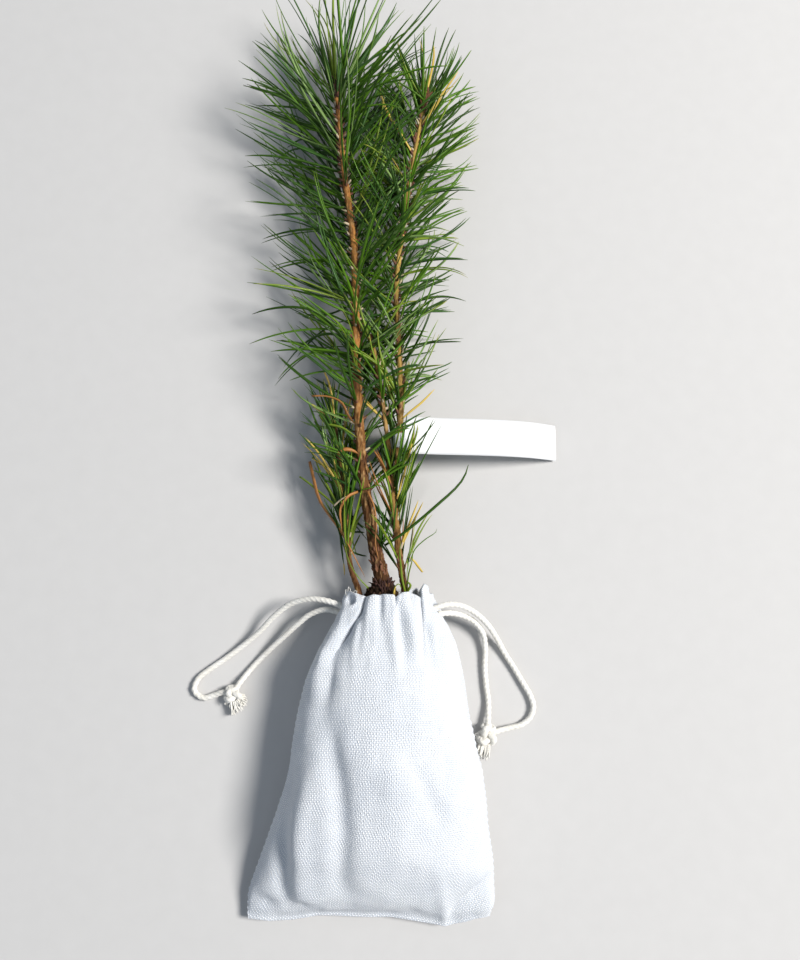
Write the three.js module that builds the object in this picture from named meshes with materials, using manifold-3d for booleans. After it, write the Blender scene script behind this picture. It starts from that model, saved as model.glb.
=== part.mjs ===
import * as THREE from "three";
import { mergeVertices } from "three/addons/utils/BufferGeometryUtils.js";
import Module from "manifold-3d";

// A young pine whose root ball sits in a drawstring bag of white canvas, lying down on a table.
// Millimetres. +Y runs from the bag's bottom seam to the crown, +Z is up and the table is z = 0.
// The origin is the middle of the flat patch that the bag lies on.

const wasm = await Module();
wasm.setup();

// Driving dimensions
const GAP = 0.3;
const CANVAS = 1.5;
const LINING_GAP = 0.7;
const BAG_FOOT = -60;
const RIM = 86;
const SOIL = 78;
const BAG_COLUMNS = 40;
const PLEATS = 10;
const PLEAT_DEPTH = 2.1;
const PLEATS_START = 28;
const SEAM_WAVE = 1.9;
const CORD_DIAMETER = 2.7;
const CORD_STEP = 6.5;
const KNOT_RADIUS = 4.4;
const NEEDLE_ROOT = 0.6;
const NEEDLE_MIDDLE = 0.95;
const FLOOR_CLEARANCE = 1.3;
const CROWN_TOP = 76;
const SLEEVE_WALL = 1.1;
const TAG_THICKNESS = 0.6;
const TAG_WIDTH = 17.6;
const TAG_TAIL_WIDTH = 7;
const GOLDEN_ANGLE = 2.399963;
const SEED = 41;

// Where the bag's outline, thickness and roundness change, from the bottom seam to the rim:
// top, side and under are the heights of its upper face, its side seams and its underside.
const BAG_STATIONS = [
  { y: -60, middle: -1, halfWidth: 54.5, top: 6.6, side: 5.2, under: 4, crown: 1 },
  { y: -54, middle: -0.4, halfWidth: 55.2, top: 14, side: 5.4, under: 1, crown: 1.15 },
  { y: -45, middle: 0, halfWidth: 55, top: 22.5, side: 6.5, under: 0, crown: 1.2 },
  { y: -26, middle: 3, halfWidth: 51, top: 34, side: 10, under: 0, crown: 1.1 },
  { y: 4, middle: 5.8, halfWidth: 44, top: 41.5, side: 15, under: 0, crown: 1 },
  { y: 30, middle: 5.6, halfWidth: 39.3, top: 41.5, side: 17, under: 0, crown: 1 },
  { y: 50, middle: 6.6, halfWidth: 35.4, top: 38.5, side: 18, under: 0, crown: 1 },
  { y: 64, middle: 8, halfWidth: 30.4, top: 35.5, side: 18, under: 1.6, crown: 1 },
  { y: 78, middle: 8.2, halfWidth: 22.6, top: 32.5, side: 18, under: 4, crown: 1 },
  { y: 86, middle: 8, halfWidth: 19.4, top: 31.5, side: 18, under: 4.8, crown: 1 },
];
const FLATNESS = 1.55;

// The stems' routes, each from its foot to its tip.
const TRUNK_ROUTE = [
  [5.6, SOIL + GAP, 18],
  [5.2, 90, 20],
  [0.9, 110.6, 22],
  [-2.6, 131, 23],
  [-5, 152, 23],
  [-7.2, 188, 23],
  [-8, 222, 23.5],
  [-8.9, 251, 24],
  [-13.8, 288.6, 24],
  [-17.4, 322, 24],
  [-18.8, 340, 24],
];
const RIGHT_ROUTE = [
  [16.6, SOIL + GAP, 17.5],
  [15, 90, 19.5],
  [12.2, 108, 21.5],
  [10.3, 137, 22],
  [12.4, 156, 22],
  [13.4, 172, 22],
  [12.8, 200, 22],
  [11.3, 232, 22],
  [13.8, 257, 22.5],
  [19, 292, 23],
  [26.5, 334, 23],
];
const MIDDLE_ROUTE = [
  [7.5, 141.5, 22],
  [8, 149, 22.3],
  [7, 160, 23],
  [5.1, 175, 24],
  [1.7, 196, 25],
  [-0.3, 206, 25],
];
const LEFT_ROUTE = [
  [-3.6, SOIL + GAP, 16],
  [-6.2, 88, 17],
  [-10.3, 101, 18],
  [-11.4, 115, 18],
  [-12.6, 131, 18],
  [-17.4, 165, 17.5],
];

// The drawcords' routes, from the neck down to the table and round to their knots.
const CORD_ROUTES = {
  cord_left_outer: [
    [-13.6, 80.9, 19.6],
    [-20.5, 83.2, 18.6],
    [-28.6, 84.1, 16.4],
    [-37.6, 82, 13],
    [-45.8, 76.4, 9.6],
    [-53.4, 68.8, 6],
    [-62.2, 61.7, 3.2],
    [-70.6, 55.6, 2],
    [-77.4, 51, 1.8],
    [-82.6, 46.6, 1.8],
    [-84.2, 41.4, 1.8],
    [-80, 37.9, 1.8],
    [-74.6, 39.2, 2.1],
    [-70.4, 40.5, 3.2],
  ],
  cord_left_inner: [
    [-15.6, 78.2, 16],
    [-21.6, 79.2, 13.6],
    [-28.9, 77, 11.4],
    [-34.8, 72.6, 9],
    [-41.4, 66.8, 6.2],
    [-48.2, 60.8, 3.6],
    [-53.8, 55.4, 2],
    [-58.9, 49.7, 2.1],
    [-63.2, 43.9, 3.6],
  ],
  cord_right_outer: [
    [30, 80.2, 19.6],
    [33.4, 81.3, 19.2],
    [38.8, 81.5, 17.4],
    [44.4, 79.8, 14.4],
    [50.4, 76, 10.6],
    [55.4, 70.9, 7],
    [59.4, 64.8, 4],
    [63, 58.4, 2.2],
    [67.2, 51.8, 1.8],
    [71.2, 45, 1.8],
    [74.8, 38.6, 1.8],
    [76, 33.6, 1.8],
    [74.4, 29, 1.8],
    [70.2, 25.6, 1.9],
    [64.6, 24.2, 2.4],
    [58.3, 22.8, 3.9],
  ],
  cord_right_inner: [
    [32.6, 77.4, 15.7],
    [36.8, 77.6, 13.8],
    [43, 76.2, 10.8],
    [48.6, 73, 7.6],
    [52.6, 67.4, 4.6],
    [53.6, 60, 2.6],
    [53.3, 52.2, 1.8],
    [53.9, 43.4, 1.8],
    [54.8, 35.6, 2],
    [54.3, 26.5, 3.9],
  ],
};
const KNOTS = {
  knot_left: { at: [-65.6, 39.4, 4], tail: [-64.4, 29.6, 3.6], size: 1 },
  knot_right: { at: [53.7, 20.8, 4.2], tail: [51.4, 9.4, 3.8], size: 1.12 },
};

// The tag's strip, from its free end on the table up to the right stem, and its tail round that stem.
const TAG_Y = 160;
const TAG_TAIL_Y = 157.5;
const TAG_STRIP = [
  [89.6, 1.6],
  [83, 6.4],
  [74.5, 11.2],
  [63, 15.2],
  [48, 18.2],
  [33, 20.2],
  [21.4, 22.4],
];
const TAG_STRIP_STEPS = 12;
const TAG_NECK = [18, 23];
const TAG_LOOP_SHARE = 0.31;
const TAG_LOOP_RADIUS = 3.3;

// Seeded numbers from 0 to 1, so that each sapling built is the same one.
function seeded(seed) {
  let state = seed;
  return () => {
    state = (state + 0x6d2b79f5) | 0;
    let t = Math.imul(state ^ (state >>> 15), 1 | state);
    t = (t + Math.imul(t ^ (t >>> 7), 61 | t)) ^ t;
    return ((t ^ (t >>> 14)) >>> 0) / 4294967296;
  };
}
const random = seeded(SEED);
const between = (low, high) => low + (high - low) * random();

const vector = ([x, y, z]) => new THREE.Vector3(x, y, z);
const route = (points) => new THREE.CatmullRomCurve3(points.map(vector), false, "centripetal");

// The flat end of a ring of points, as triangles that turn the same way as the ring.
function capOf(ring) {
  const normal = new THREE.Vector3();
  ring.forEach((point, i) => {
    normal.add(point.clone().cross(ring[(i + 1) % ring.length]));
  });
  normal.normalize();
  const across = ring[1].clone().sub(ring[0]).normalize();
  const along = normal.clone().cross(across);
  const flat = ring.map((point) => new THREE.Vector2(point.dot(across), point.dot(along)));
  return THREE.ShapeUtils.triangulateShape(flat, []);
}

// A closed skin through rings of points that turn anticlockwise as they are seen from the last ring's
// side. A last ring of one point closes the skin in a tip.
function loft(rings) {
  const sides = rings[0].length;
  const tipped = rings.at(-1).length === 1;
  const index = [];
  capOf(rings[0]).forEach(([a, b, c]) => index.push(a, c, b));
  for (let k = 0; k + 1 < rings.length; k += 1) {
    const here = k * sides;
    const next = here + sides;
    for (let i = 0; i < sides; i += 1) {
      const j = (i + 1) % sides;
      if (tipped && k + 2 === rings.length) {
        index.push(here + i, here + j, next);
      } else {
        index.push(here + i, here + j, next + j, here + i, next + j, next + i);
      }
    }
  }
  if (!tipped) {
    const last = (rings.length - 1) * sides;
    capOf(rings.at(-1)).forEach(([a, b, c]) => index.push(last + a, last + b, last + c));
  }
  return new THREE.BufferGeometry().setFromPoints(rings.flat()).setIndex(index);
}

function solidOf(geometry) {
  const bare = geometry.clone();
  bare.deleteAttribute("normal");
  bare.deleteAttribute("uv");
  const merged = mergeVertices(bare, 1e-4);
  return new wasm.Manifold(
    new wasm.Mesh({
      numProp: 3,
      vertProperties: merged.attributes.position.array,
      triVerts: new Uint32Array(merged.index.array),
    }),
  );
}

function geometryOf(solid) {
  const { numProp, vertProperties, triVerts } = solid.getMesh();
  const positions = new Float32Array((vertProperties.length / numProp) * 3);
  for (let i = 0; i * 3 < positions.length; i += 1) {
    positions.set(vertProperties.subarray(i * numProp, i * numProp + 3), i * 3);
  }
  return new THREE.BufferGeometry()
    .setAttribute("position", new THREE.BufferAttribute(positions, 3))
    .setIndex(new THREE.BufferAttribute(triVerts, 1));
}

function meshOf(name, geometry, material) {
  const mesh = new THREE.Mesh(geometry, material);
  mesh.name = name;
  return mesh;
}

// The way up and the way right, square to a stem at a share of its length.
function frameOf(curve, share) {
  const centre = curve.getPointAt(share);
  const ahead = curve.getTangentAt(share);
  const right = ahead.clone().cross(new THREE.Vector3(0, 0, 1)).normalize();
  const up = right.clone().cross(ahead);
  const outward = (angle) =>
    up.clone().multiplyScalar(Math.cos(angle)).addScaledVector(right, Math.sin(angle));
  return { centre, ahead, outward };
}

function ringRound(frame, radius, sides) {
  return Array.from({ length: sides }, (_, i) =>
    frame.centre.clone().addScaledVector(frame.outward((i / sides) * 2 * Math.PI), radius),
  );
}

// A tapering limb from one share of its route to another. A stem's foot is cut flat just above the soil.
function limbOf(stem, from = 0, to = 1) {
  const length = stem.curve.getLength() * (to - from);
  const steps = Math.max(3, Math.round(length / stem.step));
  const rings = Array.from({ length: steps + 1 }, (_, k) => {
    const share = from + ((to - from) * k) / steps;
    return ringRound(frameOf(stem.curve, share), stem.radius(share), stem.sides);
  });
  const cut = SOIL + GAP;
  if (rings[0].some((point) => point.y < cut)) rings[0].forEach((point) => point.setY(cut));
  return loft(rings);
}

// Values between the bag's stations, on a smooth curve through them.
function bagAt(y) {
  const last = BAG_STATIONS.length - 1;
  let k = 0;
  while (k < last - 1 && BAG_STATIONS[k + 1].y < y) k += 1;
  const [before, start, end, after] = [-1, 0, 1, 2].map(
    (step) => BAG_STATIONS[Math.min(last, Math.max(0, k + step))],
  );
  const span = end.y - start.y;
  const t = (y - start.y) / span;
  const blend = (key) => {
    const leave = before === start ? 0 : ((end[key] - before[key]) / (end.y - before.y)) * span;
    const arrive = after === end ? 0 : ((after[key] - start[key]) / (after.y - start.y)) * span;
    return (
      start[key] * (2 * t ** 3 - 3 * t ** 2 + 1) +
      leave * (t ** 3 - 2 * t ** 2 + t) +
      end[key] * (3 * t ** 2 - 2 * t ** 3) +
      arrive * (t ** 3 - t ** 2)
    );
  };
  return Object.fromEntries(Object.keys(start).map((key) => [key, key === "y" ? y : blend(key)]));
}

const pleatDepth = (y) => {
  const share = Math.min(1, Math.max(0, (y - PLEATS_START) / (RIM - PLEATS_START)));
  return PLEAT_DEPTH * share * share * (3 - 2 * share);
};

// The bag's cross-section at y, a distance inside its outer face. The angle runs from the top to +X.
function bagRing(y, inset, pleated = true) {
  const section = bagAt(y);
  const depth = pleatDepth(y);
  const extra = pleated ? 0 : depth;
  const footShare = Math.max(0, 1 - (y - BAG_FOOT) / 7);
  const rimShare = Math.max(0, 1 - (RIM - y) / 7);
  return Array.from({ length: BAG_COLUMNS }, (_, i) => {
    const angle = (i / BAG_COLUMNS) * 2 * Math.PI;
    const across = Math.sin(angle);
    const rise = Math.cos(angle);
    const ripple = pleated ? depth * Math.cos(PLEATS * angle) : 0;
    const away = inset + extra;
    const upper = section.side + (section.top - away - section.side) * Math.max(0, rise) ** section.crown;
    const drop = Math.min(1, Math.max(0, -rise) * (section.under < 1 ? FLATNESS : 1));
    const lower = section.side - (section.side - section.under - away) * drop;
    const x = section.middle + (section.halfWidth - away + ripple) * across;
    const z = (rise > 0 ? upper : lower) + ripple * rise;
    const wave = SEAM_WAVE * (0.45 - Math.cos((x - 33) / 12.7)) * footShare;
    const ear = 3.2 * Math.exp(-(((x - 23) / 4.5) ** 2)) * rimShare * Math.max(0, rise);
    return new THREE.Vector3(x, y + wave + ear, Math.max(z, inset));
  });
}

const BAG_ROWS = [-60, -57, -53, -46, -36, -22, -6, 12, 28, 42, 52, 61, 70, 78, 82, 86];
const CAVITY_ROWS = BAG_ROWS.filter((y) => y > -56);

function bagOf() {
  const outer = BAG_ROWS.map((y) => bagRing(y, 0));
  const inner = CAVITY_ROWS.map((y) => bagRing(y, CANVAS)).reverse();
  return loft([...outer, ...inner]);
}

// The ball of compost and roots fills the bag to its neck, and is cut flat at the soil.
function rootBallOf() {
  const rows = CAVITY_ROWS.filter((y) => y <= SOIL);
  const rings = rows.map((y) => bagRing(y, CANVAS + LINING_GAP, false));
  rings[0].forEach((point) => point.setY(point.y + LINING_GAP));
  rings.at(-1).forEach((point) => point.setY(SOIL));
  return loft(rings);
}

function cordOf(points) {
  const curve = route(points);
  const section = Array.from({ length: 8 }, (_, i) => {
    const angle = (i / 8) * 2 * Math.PI;
    return new THREE.Vector2(Math.cos(angle), Math.sin(angle)).multiplyScalar(CORD_DIAMETER / 2);
  });
  return new THREE.ExtrudeGeometry(new THREE.Shape(section), {
    steps: Math.round(curve.getLength() / CORD_STEP),
    extrudePath: curve,
    bevelEnabled: false,
  });
}

// An overhand knot with its frayed tail, turned about the line from its crown to the tail's end.
function knotMeshOf(name, knot, material) {
  const at = vector(knot.at);
  const tail = vector(knot.tail).sub(at);
  const radius = KNOT_RADIUS * knot.size;
  const length = tail.length();
  const profile = [
    [0, -radius],
    [radius * 0.62, -radius * 0.78],
    [radius, 0],
    [radius * 0.72, radius * 0.7],
    [radius * 0.42, radius],
    [radius * 0.8, length * 0.88],
    [0, length],
  ].map(([across, along]) => new THREE.Vector2(across, along));
  const geometry = new THREE.LatheGeometry(profile, 12);
  geometry.scale(1, 1, 0.82);
  const mesh = meshOf(name, geometry, material);
  mesh.position.copy(at);
  const ahead = tail.normalize();
  const right = ahead.clone().cross(new THREE.Vector3(0, 0, 1)).normalize();
  const up = right.clone().cross(ahead);
  mesh.quaternion.setFromRotationMatrix(new THREE.Matrix4().makeBasis(right, ahead, up));
  return mesh;
}

// Distance between the segments a-b and c-d.
function segmentGap(a, b, c, d) {
  const u = b.clone().sub(a);
  const v = d.clone().sub(c);
  const w = a.clone().sub(c);
  const uu = u.dot(u);
  const uv = u.dot(v);
  const vv = v.dot(v);
  const uw = u.dot(w);
  const vw = v.dot(w);
  const spread = uu * vv - uv * uv;
  let s = spread > 1e-9 ? Math.min(1, Math.max(0, (uv * vw - vv * uw) / spread)) : 0;
  const t = Math.min(1, Math.max(0, (uv * s + vw) / vv));
  s = Math.min(1, Math.max(0, (uv * t - uw) / uu));
  return w.addScaledVector(u, s).addScaledVector(v, -t).length();
}

const taper = (foot, tip, flare = 0) => (share) =>
  foot + (tip - foot) * share ** 0.8 + flare * Math.exp(-share * 20);
const stemOf = (points, radius, sides, step) => ({ curve: route(points), radius, sides, step });
const trunk = stemOf(TRUNK_ROUTE, taper(3.1, 1.15, 2.2), 10, 11);
const rightStem = stemOf(RIGHT_ROUTE, taper(1.75, 1.05), 8, 13);
const middleBough = stemOf(MIDDLE_ROUTE, taper(1.1, 0.8), 6, 12);
const leftStem = stemOf(LEFT_ROUTE, taper(1.5, 0.8), 6, 12);

// The masses of needles. A mass with a sleeve stands round a stem that runs on through it, and any
// other grows from its own twig, which carries its bough on. The shares are of that stem's length.
const bands = (name, stem, from, to, lengths, counts) =>
  lengths.map((length, i) => ({
    name: `${name}_${i + 1}`,
    stem,
    sleeve: true,
    from: from + ((to - from) * i) / lengths.length,
    to: from + ((to - from) * (i + 1)) / lengths.length,
    length,
    count: counts[i],
  }));
const MASSES = [
  ...bands("leader_needles", trunk, 0.2, 0.985, [34, 44, 52, 57, 60], [20, 34, 40, 42, 46]),
  ...bands("right_needles", rightStem, 0.37, 0.985, [32, 37, 38, 38], [26, 32, 34, 38]),
  { name: "right_foot_needles", stem: rightStem, sleeve: true, from: 0.07, to: 0.235, length: 30, count: 22 },
  { name: "middle_needles", stem: middleBough, from: 0.36, to: 1, length: 34, count: 22 },
  { name: "left_needles", stem: leftStem, from: 0.3, to: 1, length: 34, count: 28 },
];

// A gutter under a stem, open above so that the bark shows, with a gap all along it.
const SLEEVE_EDGE = 0.95;
function sleeveOf(mass) {
  const steps = 3;
  const sides = 6;
  const rings = Array.from({ length: steps + 1 }, (_, k) => {
    const share = mass.from + ((mass.to - mass.from) * (k + 0.02)) / (steps + 0.04);
    const frame = frameOf(mass.stem.curve, share);
    const inner = mass.stem.radius(share) / Math.cos(Math.PI / mass.stem.sides) + GAP;
    const arc = (radius, turn) =>
      Array.from({ length: sides + 1 }, (_, i) => {
        const angle = SLEEVE_EDGE + (2 * Math.PI - 2 * SLEEVE_EDGE) * (turn > 0 ? i / sides : 1 - i / sides);
        return frame.centre.clone().addScaledVector(frame.outward(angle), radius);
      });
    const flat = Math.cos((Math.PI - SLEEVE_EDGE) / sides);
    return [...arc(inner + SLEEVE_WALL, 1), ...arc(inner / flat, -1)];
  });
  return loft(rings);
}

// One needle: root, middle and tip. It leaves its stem at an angle and bends a little, and it is held
// between the table that it lies on and the crown's top.
function needleRoute(mass, share, turn) {
  const { stem, length } = mass;
  const frame = frameOf(stem.curve, share);
  const up = Math.atan2(Math.sin(turn), Math.cos(turn));
  const held = mass.sleeve ? Math.sign(up || 1) * Math.max(Math.abs(up), SLEEVE_EDGE + 0.16) : up;
  const depth = mass.sleeve
    ? stem.radius(share) / Math.cos(Math.PI / stem.sides) + GAP + SLEEVE_WALL * 0.62
    : stem.radius(share) * 0.35;
  const root = frame.centre.clone().addScaledVector(frame.outward(held), depth);
  const nearTip = Math.max(0, (share - 0.86) / 0.14);
  const spread = between(0.5, 1.3) - nearTip * between(0.3, 0.75);
  const reach = length * between(0.82, 1.06);
  const way = frame.ahead.clone().multiplyScalar(Math.cos(spread));
  way.addScaledVector(frame.outward(up), Math.sin(spread));
  const sideways = way.clone().cross(frame.ahead).normalize();
  const lowest = (FLOOR_CLEARANCE + between(0, 5) - root.z) / reach;
  const highest = (CROWN_TOP - between(0, 4) - root.z) / reach;
  const level = Math.max(lowest, Math.min(highest, way.z));
  const flat = Math.sqrt((1 - level * level) / (way.x * way.x + way.y * way.y));
  way.set(way.x * flat, way.y * flat, level);
  const bend = between(-0.22, 0.2) * (1 - nearTip);
  const curl = between(-0.14, 0.14);
  const at = (t) => {
    const point = root.clone().addScaledVector(way, reach * t);
    point.addScaledVector(frame.ahead, bend * reach * t * t);
    point.addScaledVector(sideways, curl * reach * t * t);
    return point.setZ(Math.min(CROWN_TOP, Math.max(point.z, FLOOR_CLEARANCE)));
  };
  return [at(0), at(0.5), at(1)];
}

function needleOf([root, middle, tip]) {
  const ahead = middle.clone().sub(root).normalize();
  const reference = new THREE.Vector3(0, Math.abs(ahead.z) > 0.9 ? 1 : 0, Math.abs(ahead.z) > 0.9 ? 0 : 1);
  const right = ahead.clone().cross(reference).normalize();
  const up = right.clone().cross(ahead);
  const ring = (centre, radius) =>
    [0, 1, 2].map((i) => {
      const angle = (i * 2 * Math.PI) / 3;
      return centre
        .clone()
        .addScaledVector(up, radius * Math.cos(angle))
        .addScaledVector(right, radius * Math.sin(angle));
    });
  return loft([ring(root, NEEDLE_ROOT), ring(middle, NEEDLE_MIDDLE), [tip]]);
}

// Stems and sleeves as thick segments that a needle keeps clear of.
function segmentsAlong(stem, from, to, grow, owner) {
  const steps = Math.ceil(((to - from) * stem.curve.getLength()) / 8);
  return Array.from({ length: steps }, (_, k) => {
    const share = from + ((to - from) * k) / steps;
    const next = from + ((to - from) * (k + 1)) / steps;
    return {
      a: stem.curve.getPointAt(share),
      b: stem.curve.getPointAt(next),
      radius: stem.radius(share) * 1.08 + grow,
      owner,
    };
  });
}

// The tag's centre line in x and z: its strip, then its tail once round the right stem.
function tagLine() {
  const strip = new THREE.CatmullRomCurve3(TAG_STRIP.map(([x, z]) => new THREE.Vector3(x, 0, z)));
  const stem = rightStem.curve.getPointAt(TAG_LOOP_SHARE);
  const hang = rightStem.radius(TAG_LOOP_SHARE) + GAP + TAG_THICKNESS / 2 - TAG_LOOP_RADIUS;
  const centre = new THREE.Vector3(stem.x, 0, stem.z + hang);
  const loop = Array.from({ length: 13 }, (_, i) => {
    const angle = Math.PI * (0.36 + (1.42 * i) / 12);
    return centre
      .clone()
      .add(new THREE.Vector3(TAG_LOOP_RADIUS * Math.cos(angle), 0, TAG_LOOP_RADIUS * Math.sin(angle)));
  });
  const end = loop.at(-1).clone().add(new THREE.Vector3(5, 0, 0.6));
  return [...strip.getSpacedPoints(TAG_STRIP_STEPS), ...loop, end];
}
const tagPoints = tagLine();

// The strip narrows to its tail over its neck: 1 on the strip, 0 on the tail.
function tagBreadth(k) {
  const [start, end] = TAG_NECK;
  return k > TAG_STRIP_STEPS ? 0 : Math.min(1, Math.max(0, (tagPoints[k].x - start) / (end - start)));
}

function tagOf() {
  const rings = tagPoints.map((point, k) => {
    const before = tagPoints[Math.max(0, k - 1)];
    const after = tagPoints[Math.min(tagPoints.length - 1, k + 1)];
    const ahead = after.clone().sub(before).normalize();
    const wide = new THREE.Vector3(0, 1, 0);
    const thick = ahead.clone().cross(wide);
    const breadth = tagBreadth(k);
    const centre = point.clone().setY(TAG_TAIL_Y + (TAG_Y - TAG_TAIL_Y) * breadth);
    const half = (TAG_TAIL_WIDTH + (TAG_WIDTH - TAG_TAIL_WIDTH) * breadth) / 2;
    return [[1, 1], [-1, 1], [-1, -1], [1, -1]].map(([w, h]) =>
      centre
        .clone()
        .addScaledVector(wide, w * half)
        .addScaledVector(thick, (h * TAG_THICKNESS) / 2),
    );
  });
  return loft(rings);
}

function clearOfTag(points) {
  const clearance = TAG_THICKNESS / 2 + NEEDLE_MIDDLE + GAP;
  return points.every((point) => {
    if (Math.abs(point.y - TAG_Y) > TAG_WIDTH / 2 + clearance) return true;
    return tagPoints.slice(1).every((end, k) => {
      const start = tagPoints[k];
      const flat = point.clone().setY(0);
      const line = new THREE.Line3(start, end);
      return line.closestPointToPoint(flat, true, new THREE.Vector3()).distanceTo(flat) > clearance;
    });
  });
}

// Each mass: its core, with needles fused on that keep clear of the stems, the tag and other masses.
function growMasses() {
  const stems = [
    ...segmentsAlong(trunk, 0, 1, 0, "trunk"),
    ...segmentsAlong(rightStem, 0, 1, 0, "right_stem"),
    ...segmentsAlong(middleBough, 0, 1, 0, "middle_bough"),
    ...segmentsAlong(leftStem, 0, 1, 0, "left_stem"),
  ];
  const cores = MASSES.filter((mass) => mass.sleeve).flatMap((mass) =>
    segmentsAlong(mass.stem, mass.from, mass.to, GAP + SLEEVE_WALL, mass.name),
  );
  const taken = [...stems, ...cores];
  const limbs = new Map([
    [trunk, "trunk"],
    [rightStem, "right_stem"],
    [middleBough, "middle_bough"],
    [leftStem, "left_stem"],
  ]);
  return MASSES.map((mass) => {
    const ownLimb = limbs.get(mass.stem);
    const solids = [solidOf(mass.sleeve ? sleeveOf(mass) : limbOf(mass.stem, mass.from, mass.to))];
    const needles = [];
    for (let i = 0; i < mass.count; i += 1) {
      for (let attempt = 0; attempt < 9; attempt += 1) {
        const along = (i + between(0.2, 0.8)) / mass.count;
        const share = mass.from + (mass.to - mass.from) * (0.04 + 0.92 * along);
        const points = needleRoute(mass, share, i * GOLDEN_ANGLE + between(-0.5, 0.5));
        const [root, middle, tip] = points;
        const leave = root.clone().lerp(middle, 0.3);
        const clear = taken.every((other) => {
          if (other.owner === mass.name) return true;
          const start = other.owner === ownLimb ? leave : root;
          const room = other.radius + NEEDLE_MIDDLE + GAP;
          if (other.owner === ownLimb && !mass.sleeve) return true;
          return (
            segmentGap(start, middle, other.a, other.b) > room &&
            segmentGap(middle, tip, other.a, other.b) > room
          );
        });
        const samples = [0.2, 0.5, 0.8].flatMap((t) => [
          root.clone().lerp(middle, t),
          middle.clone().lerp(tip, t),
        ]);
        if (clear && clearOfTag([root, middle, tip, ...samples])) {
          needles.push(points);
          break;
        }
      }
    }
    needles.forEach(([root, middle, tip]) => {
      taken.push({ a: root, b: middle, radius: NEEDLE_MIDDLE, owner: mass.name });
      taken.push({ a: middle, b: tip, radius: NEEDLE_MIDDLE, owner: mass.name });
    });
    solids.push(...needles.map((points) => solidOf(needleOf(points))));
    const joined = solids.reduce((whole, solid) => whole.add(solid));
    const body = joined.decompose().sort((a, b) => b.volume() - a.volume())[0];
    return { name: mass.name, geometry: geometryOf(body) };
  });
}

const canvas = new THREE.MeshStandardMaterial({ color: 0xe9eef4, roughness: 0.95, side: THREE.DoubleSide });
const compost = new THREE.MeshStandardMaterial({ color: 0x2f1d12, roughness: 1 });
const bark = new THREE.MeshStandardMaterial({ color: 0x7a5230, roughness: 0.9 });
const youngBark = new THREE.MeshStandardMaterial({ color: 0x8c7a3c, roughness: 0.85 });
const needleGreen = new THREE.MeshStandardMaterial({ color: 0x3f6420, roughness: 0.55 });
const cotton = new THREE.MeshStandardMaterial({ color: 0xe4ded0, roughness: 0.95 });
const plastic = new THREE.MeshStandardMaterial({ color: 0xf7f7f5, roughness: 0.4 });

const sack = new THREE.Group();
sack.add(meshOf("bag", bagOf(), canvas));
sack.add(meshOf("root_ball", rootBallOf(), compost));
for (const [name, points] of Object.entries(CORD_ROUTES)) sack.add(meshOf(name, cordOf(points), cotton));
for (const [name, knot] of Object.entries(KNOTS)) sack.add(knotMeshOf(name, knot, cotton));

const sapling = new THREE.Group();
sapling.add(meshOf("trunk", limbOf(trunk), bark));
sapling.add(meshOf("right_stem", limbOf(rightStem), youngBark));
sapling.add(meshOf("middle_bough", limbOf(middleBough, 0, 0.35), youngBark));
sapling.add(meshOf("left_stem", limbOf(leftStem, 0, 0.29), youngBark));
for (const { name, geometry } of growMasses()) sapling.add(meshOf(name, geometry, needleGreen));
sapling.add(meshOf("tag", tagOf(), plastic));

const group = new THREE.Group();
group.add(sack, sapling);
export default group;
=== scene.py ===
import math

import bpy
import numpy as np
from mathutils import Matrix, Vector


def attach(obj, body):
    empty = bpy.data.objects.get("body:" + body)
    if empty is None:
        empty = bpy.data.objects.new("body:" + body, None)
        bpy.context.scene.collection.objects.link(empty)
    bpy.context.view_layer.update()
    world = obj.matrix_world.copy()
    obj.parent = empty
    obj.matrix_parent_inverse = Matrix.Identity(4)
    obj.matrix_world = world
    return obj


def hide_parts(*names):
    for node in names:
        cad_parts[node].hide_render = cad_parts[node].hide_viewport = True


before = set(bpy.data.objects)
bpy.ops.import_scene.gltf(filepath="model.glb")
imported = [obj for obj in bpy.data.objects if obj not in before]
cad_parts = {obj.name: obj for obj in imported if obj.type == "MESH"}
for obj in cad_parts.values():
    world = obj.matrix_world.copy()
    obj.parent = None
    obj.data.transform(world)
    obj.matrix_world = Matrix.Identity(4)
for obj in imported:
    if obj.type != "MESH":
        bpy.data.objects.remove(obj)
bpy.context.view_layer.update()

# A young pine whose root ball sits in a drawstring bag of white canvas, lying on a table.
# Places and sizes are millimetres in the part's frame until a mesh is made: +Y runs from the bag's
# bottom seam to the crown, +Z is up and the table is z = 0.
MM = 0.001
TURN = 2 * math.pi
GOLDEN_ANGLE = 2.399963
BODY = "root"

# The camera looks straight down past the neck, tipped a little towards the crown.
CAMERA_AT = (13.1, 83.3, 418)
CAMERA_TIP = math.radians(8)
CAMERA_LENS = 32.2
CAMERA_SENSOR = 36

CORD_DIAMETER = 2.7
CORD_LAY = 7.4
CORD_FULLNESS = 1.05
CORD_STRANDS = 3
CORD_STEP = 0.45
CORD_SIDES = 24
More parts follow.
